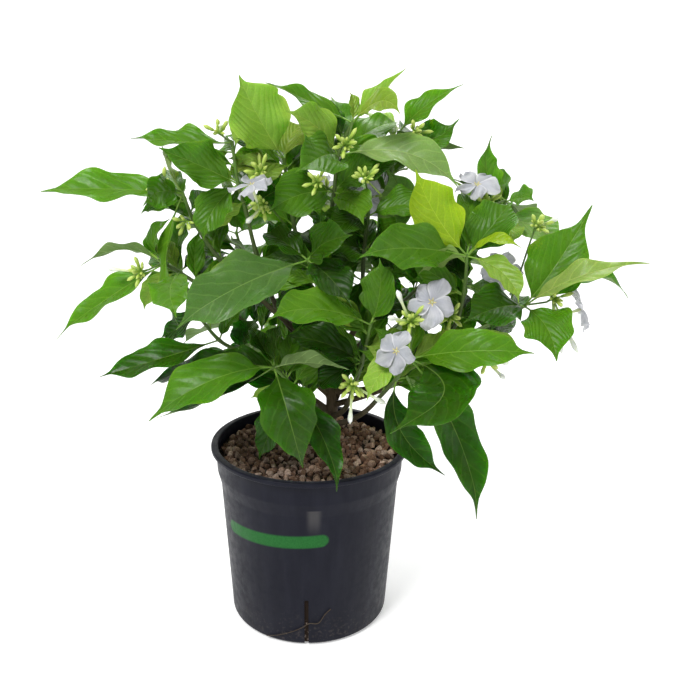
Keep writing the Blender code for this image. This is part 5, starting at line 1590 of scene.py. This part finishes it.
def pot_band(finish, turn, z):
    """1 on the green band, which has round ends, and 0 off it."""
    off = z - (turn * BAND_CLIMB + BAND_HEIGHT)
    past = finish.math("MAXIMUM", turn - BAND_TURNS[1], BAND_TURNS[0] - turn)
    past = finish.math("MAXIMUM", past, 0.0) * (math.radians(1) * POT_BASE_RADIUS)
    return finish.fall((off * off + past * past) ** 0.5, BAND_HALF - BAND_SOFT, BAND_HALF)


def pot_plastic():
    """Moulded charcoal plastic with a fine haze, scuffs, a painted highlight under the collar, dust and a
    green band.
    """
    finish = Finish("pot_plastic", 0.42, 0.13)
    x, y, z = finish.parts(finish.where())
    turn = finish.math("ARCTAN2", x, y * -1.0) * math.degrees(1)
    upward = finish.drawn_out(0.12)
    haze = finish.noise(60, 4, upward, 0.6)
    scuff = finish.step(finish.noise(520, 4, upward, 0.7), 0.62, 0.74, 0.0, 0.25)
    dust = finish.fall(z, 0.0, 0.05, 0.22) * finish.step(finish.noise(300, 5), 0.5, 0.75)
    # painted highlight: a paler patch under the collar in place of a reflection
    painted_sheen = finish.fall(abs(turn - SHEEN_PATCH_TURN), *SHEEN_PATCH_EDGE, 0.8)
    painted_sheen = painted_sheen * finish.step(z, *SHEEN_PATCH_HEIGHTS) * finish.math("LESS_THAN", z, SHEEN_PATCH_TOP)
    ink = finish.mix(finish.patches(700, 0.3, 0.7), (0.015, 0.125, 0.023), (0.010, 0.095, 0.017))
    finish.paint((0.0062, 0.0068, 0.0135),
                 (finish.step(haze, 0.35, 0.7), (0.0100, 0.0108, 0.0190)),
                 (scuff, (0.026, 0.027, 0.037)),
                 (dust, (0.16, 0.13, 0.11)),
                 (painted_sheen, (0.060, 0.058, 0.060)),
                 (pot_band(finish, turn, z), ink))
    finish.set("Roughness", finish.step(finish.noise(150, 4), 0.3, 0.7, 0.38, 0.52))
    finish.bump(finish.noise(2200, 2), 0.00005)
    finish.bump(haze, 0.0004)
    return finish.material


def backdrop_white():
    """The plain paper of the floor and the wall behind."""
    finish = Finish("backdrop_white", 0.9, 0.2)
    finish.paint((0.90, 0.90, 0.90), (finish.noise(3), (0.92, 0.92, 0.92)))
    finish.set("Emission Color", (1.0, 1.0, 1.0))
    finish.set("Emission Strength", BACKDROP_GLOW)
    return finish.material


def make_stage():
    """A white floor that sweeps up behind the plant."""
    profile = [(-FLOOR_REACH, 0.0), (FLOOR_BACK, 0.0)]
    profile += [(FLOOR_BACK + SWEEP_RADIUS * math.sin(turn), SWEEP_RADIUS * (1 - math.cos(turn)))
                for turn in np.linspace(0, math.pi / 2, SWEEP_STEPS + 1)[1:]]
    profile.append((FLOOR_BACK + SWEEP_RADIUS, WALL_TOP))
    points = [(x, y, z) for y, z in profile for x in (-FLOOR_REACH, FLOOR_REACH)]
    faces = [(2 * k, 2 * k + 1, 2 * k + 3, 2 * k + 2) for k in range(len(profile) - 1)]
    sweep = new_object("studio_sweep", new_mesh("studio_sweep", points, faces, [backdrop_white()]))


def add_light(name, at, size, watts):
    """A large soft lamp that faces the plant."""
    lamp = bpy.data.lights.new(name, "AREA")
    lamp.shape = "DISK"
    lamp.size = size
    lamp.energy = watts
    body = new_object(name, lamp)
    body.location = at
    body.rotation_euler = (PLANT_MIDDLE - Vector(at)).to_track_quat("-Z", "Y").to_euler()


def light_scene():
    """Soft studio light: a key lamp from the front left, a fill, a back lamp and a white surround."""
    world = bpy.data.worlds.new("studio")
    world.use_nodes = True
    surround = world.node_tree.nodes["Background"]
    surround.inputs["Color"].default_value = (1.0, 1.0, 1.0, 1.0)
    surround.inputs["Strength"].default_value = SURROUND
    bpy.context.scene.world = world
    for lamp in LAMPS:
        add_light(*lamp)


def make_camera():
    """The camera of the front view."""
    lens = bpy.data.cameras.new("front_view")
    lens.sensor_fit = "HORIZONTAL"
    lens.sensor_width = SENSOR
    lens.lens = VIEW_FOCAL / VIEW_SIZE * SENSOR
    lens.clip_start = 0.01
    camera = new_object("front_view", lens)
    turn = Matrix((VIEW_RIGHT, VIEW_UP, -VIEW_AHEAD)).transposed()
    camera.matrix_world = Matrix.Translation(VIEW_EYE) @ turn.to_4x4()
    bpy.context.scene.camera = camera


make_camera()
make_stage()
light_scene()
make_pot()
make_medium()
make_wood()
make_root()
make_plant()
bpy.context.scene.view_settings.view_transform = "Standard"
bpy.context.view_layer.update()
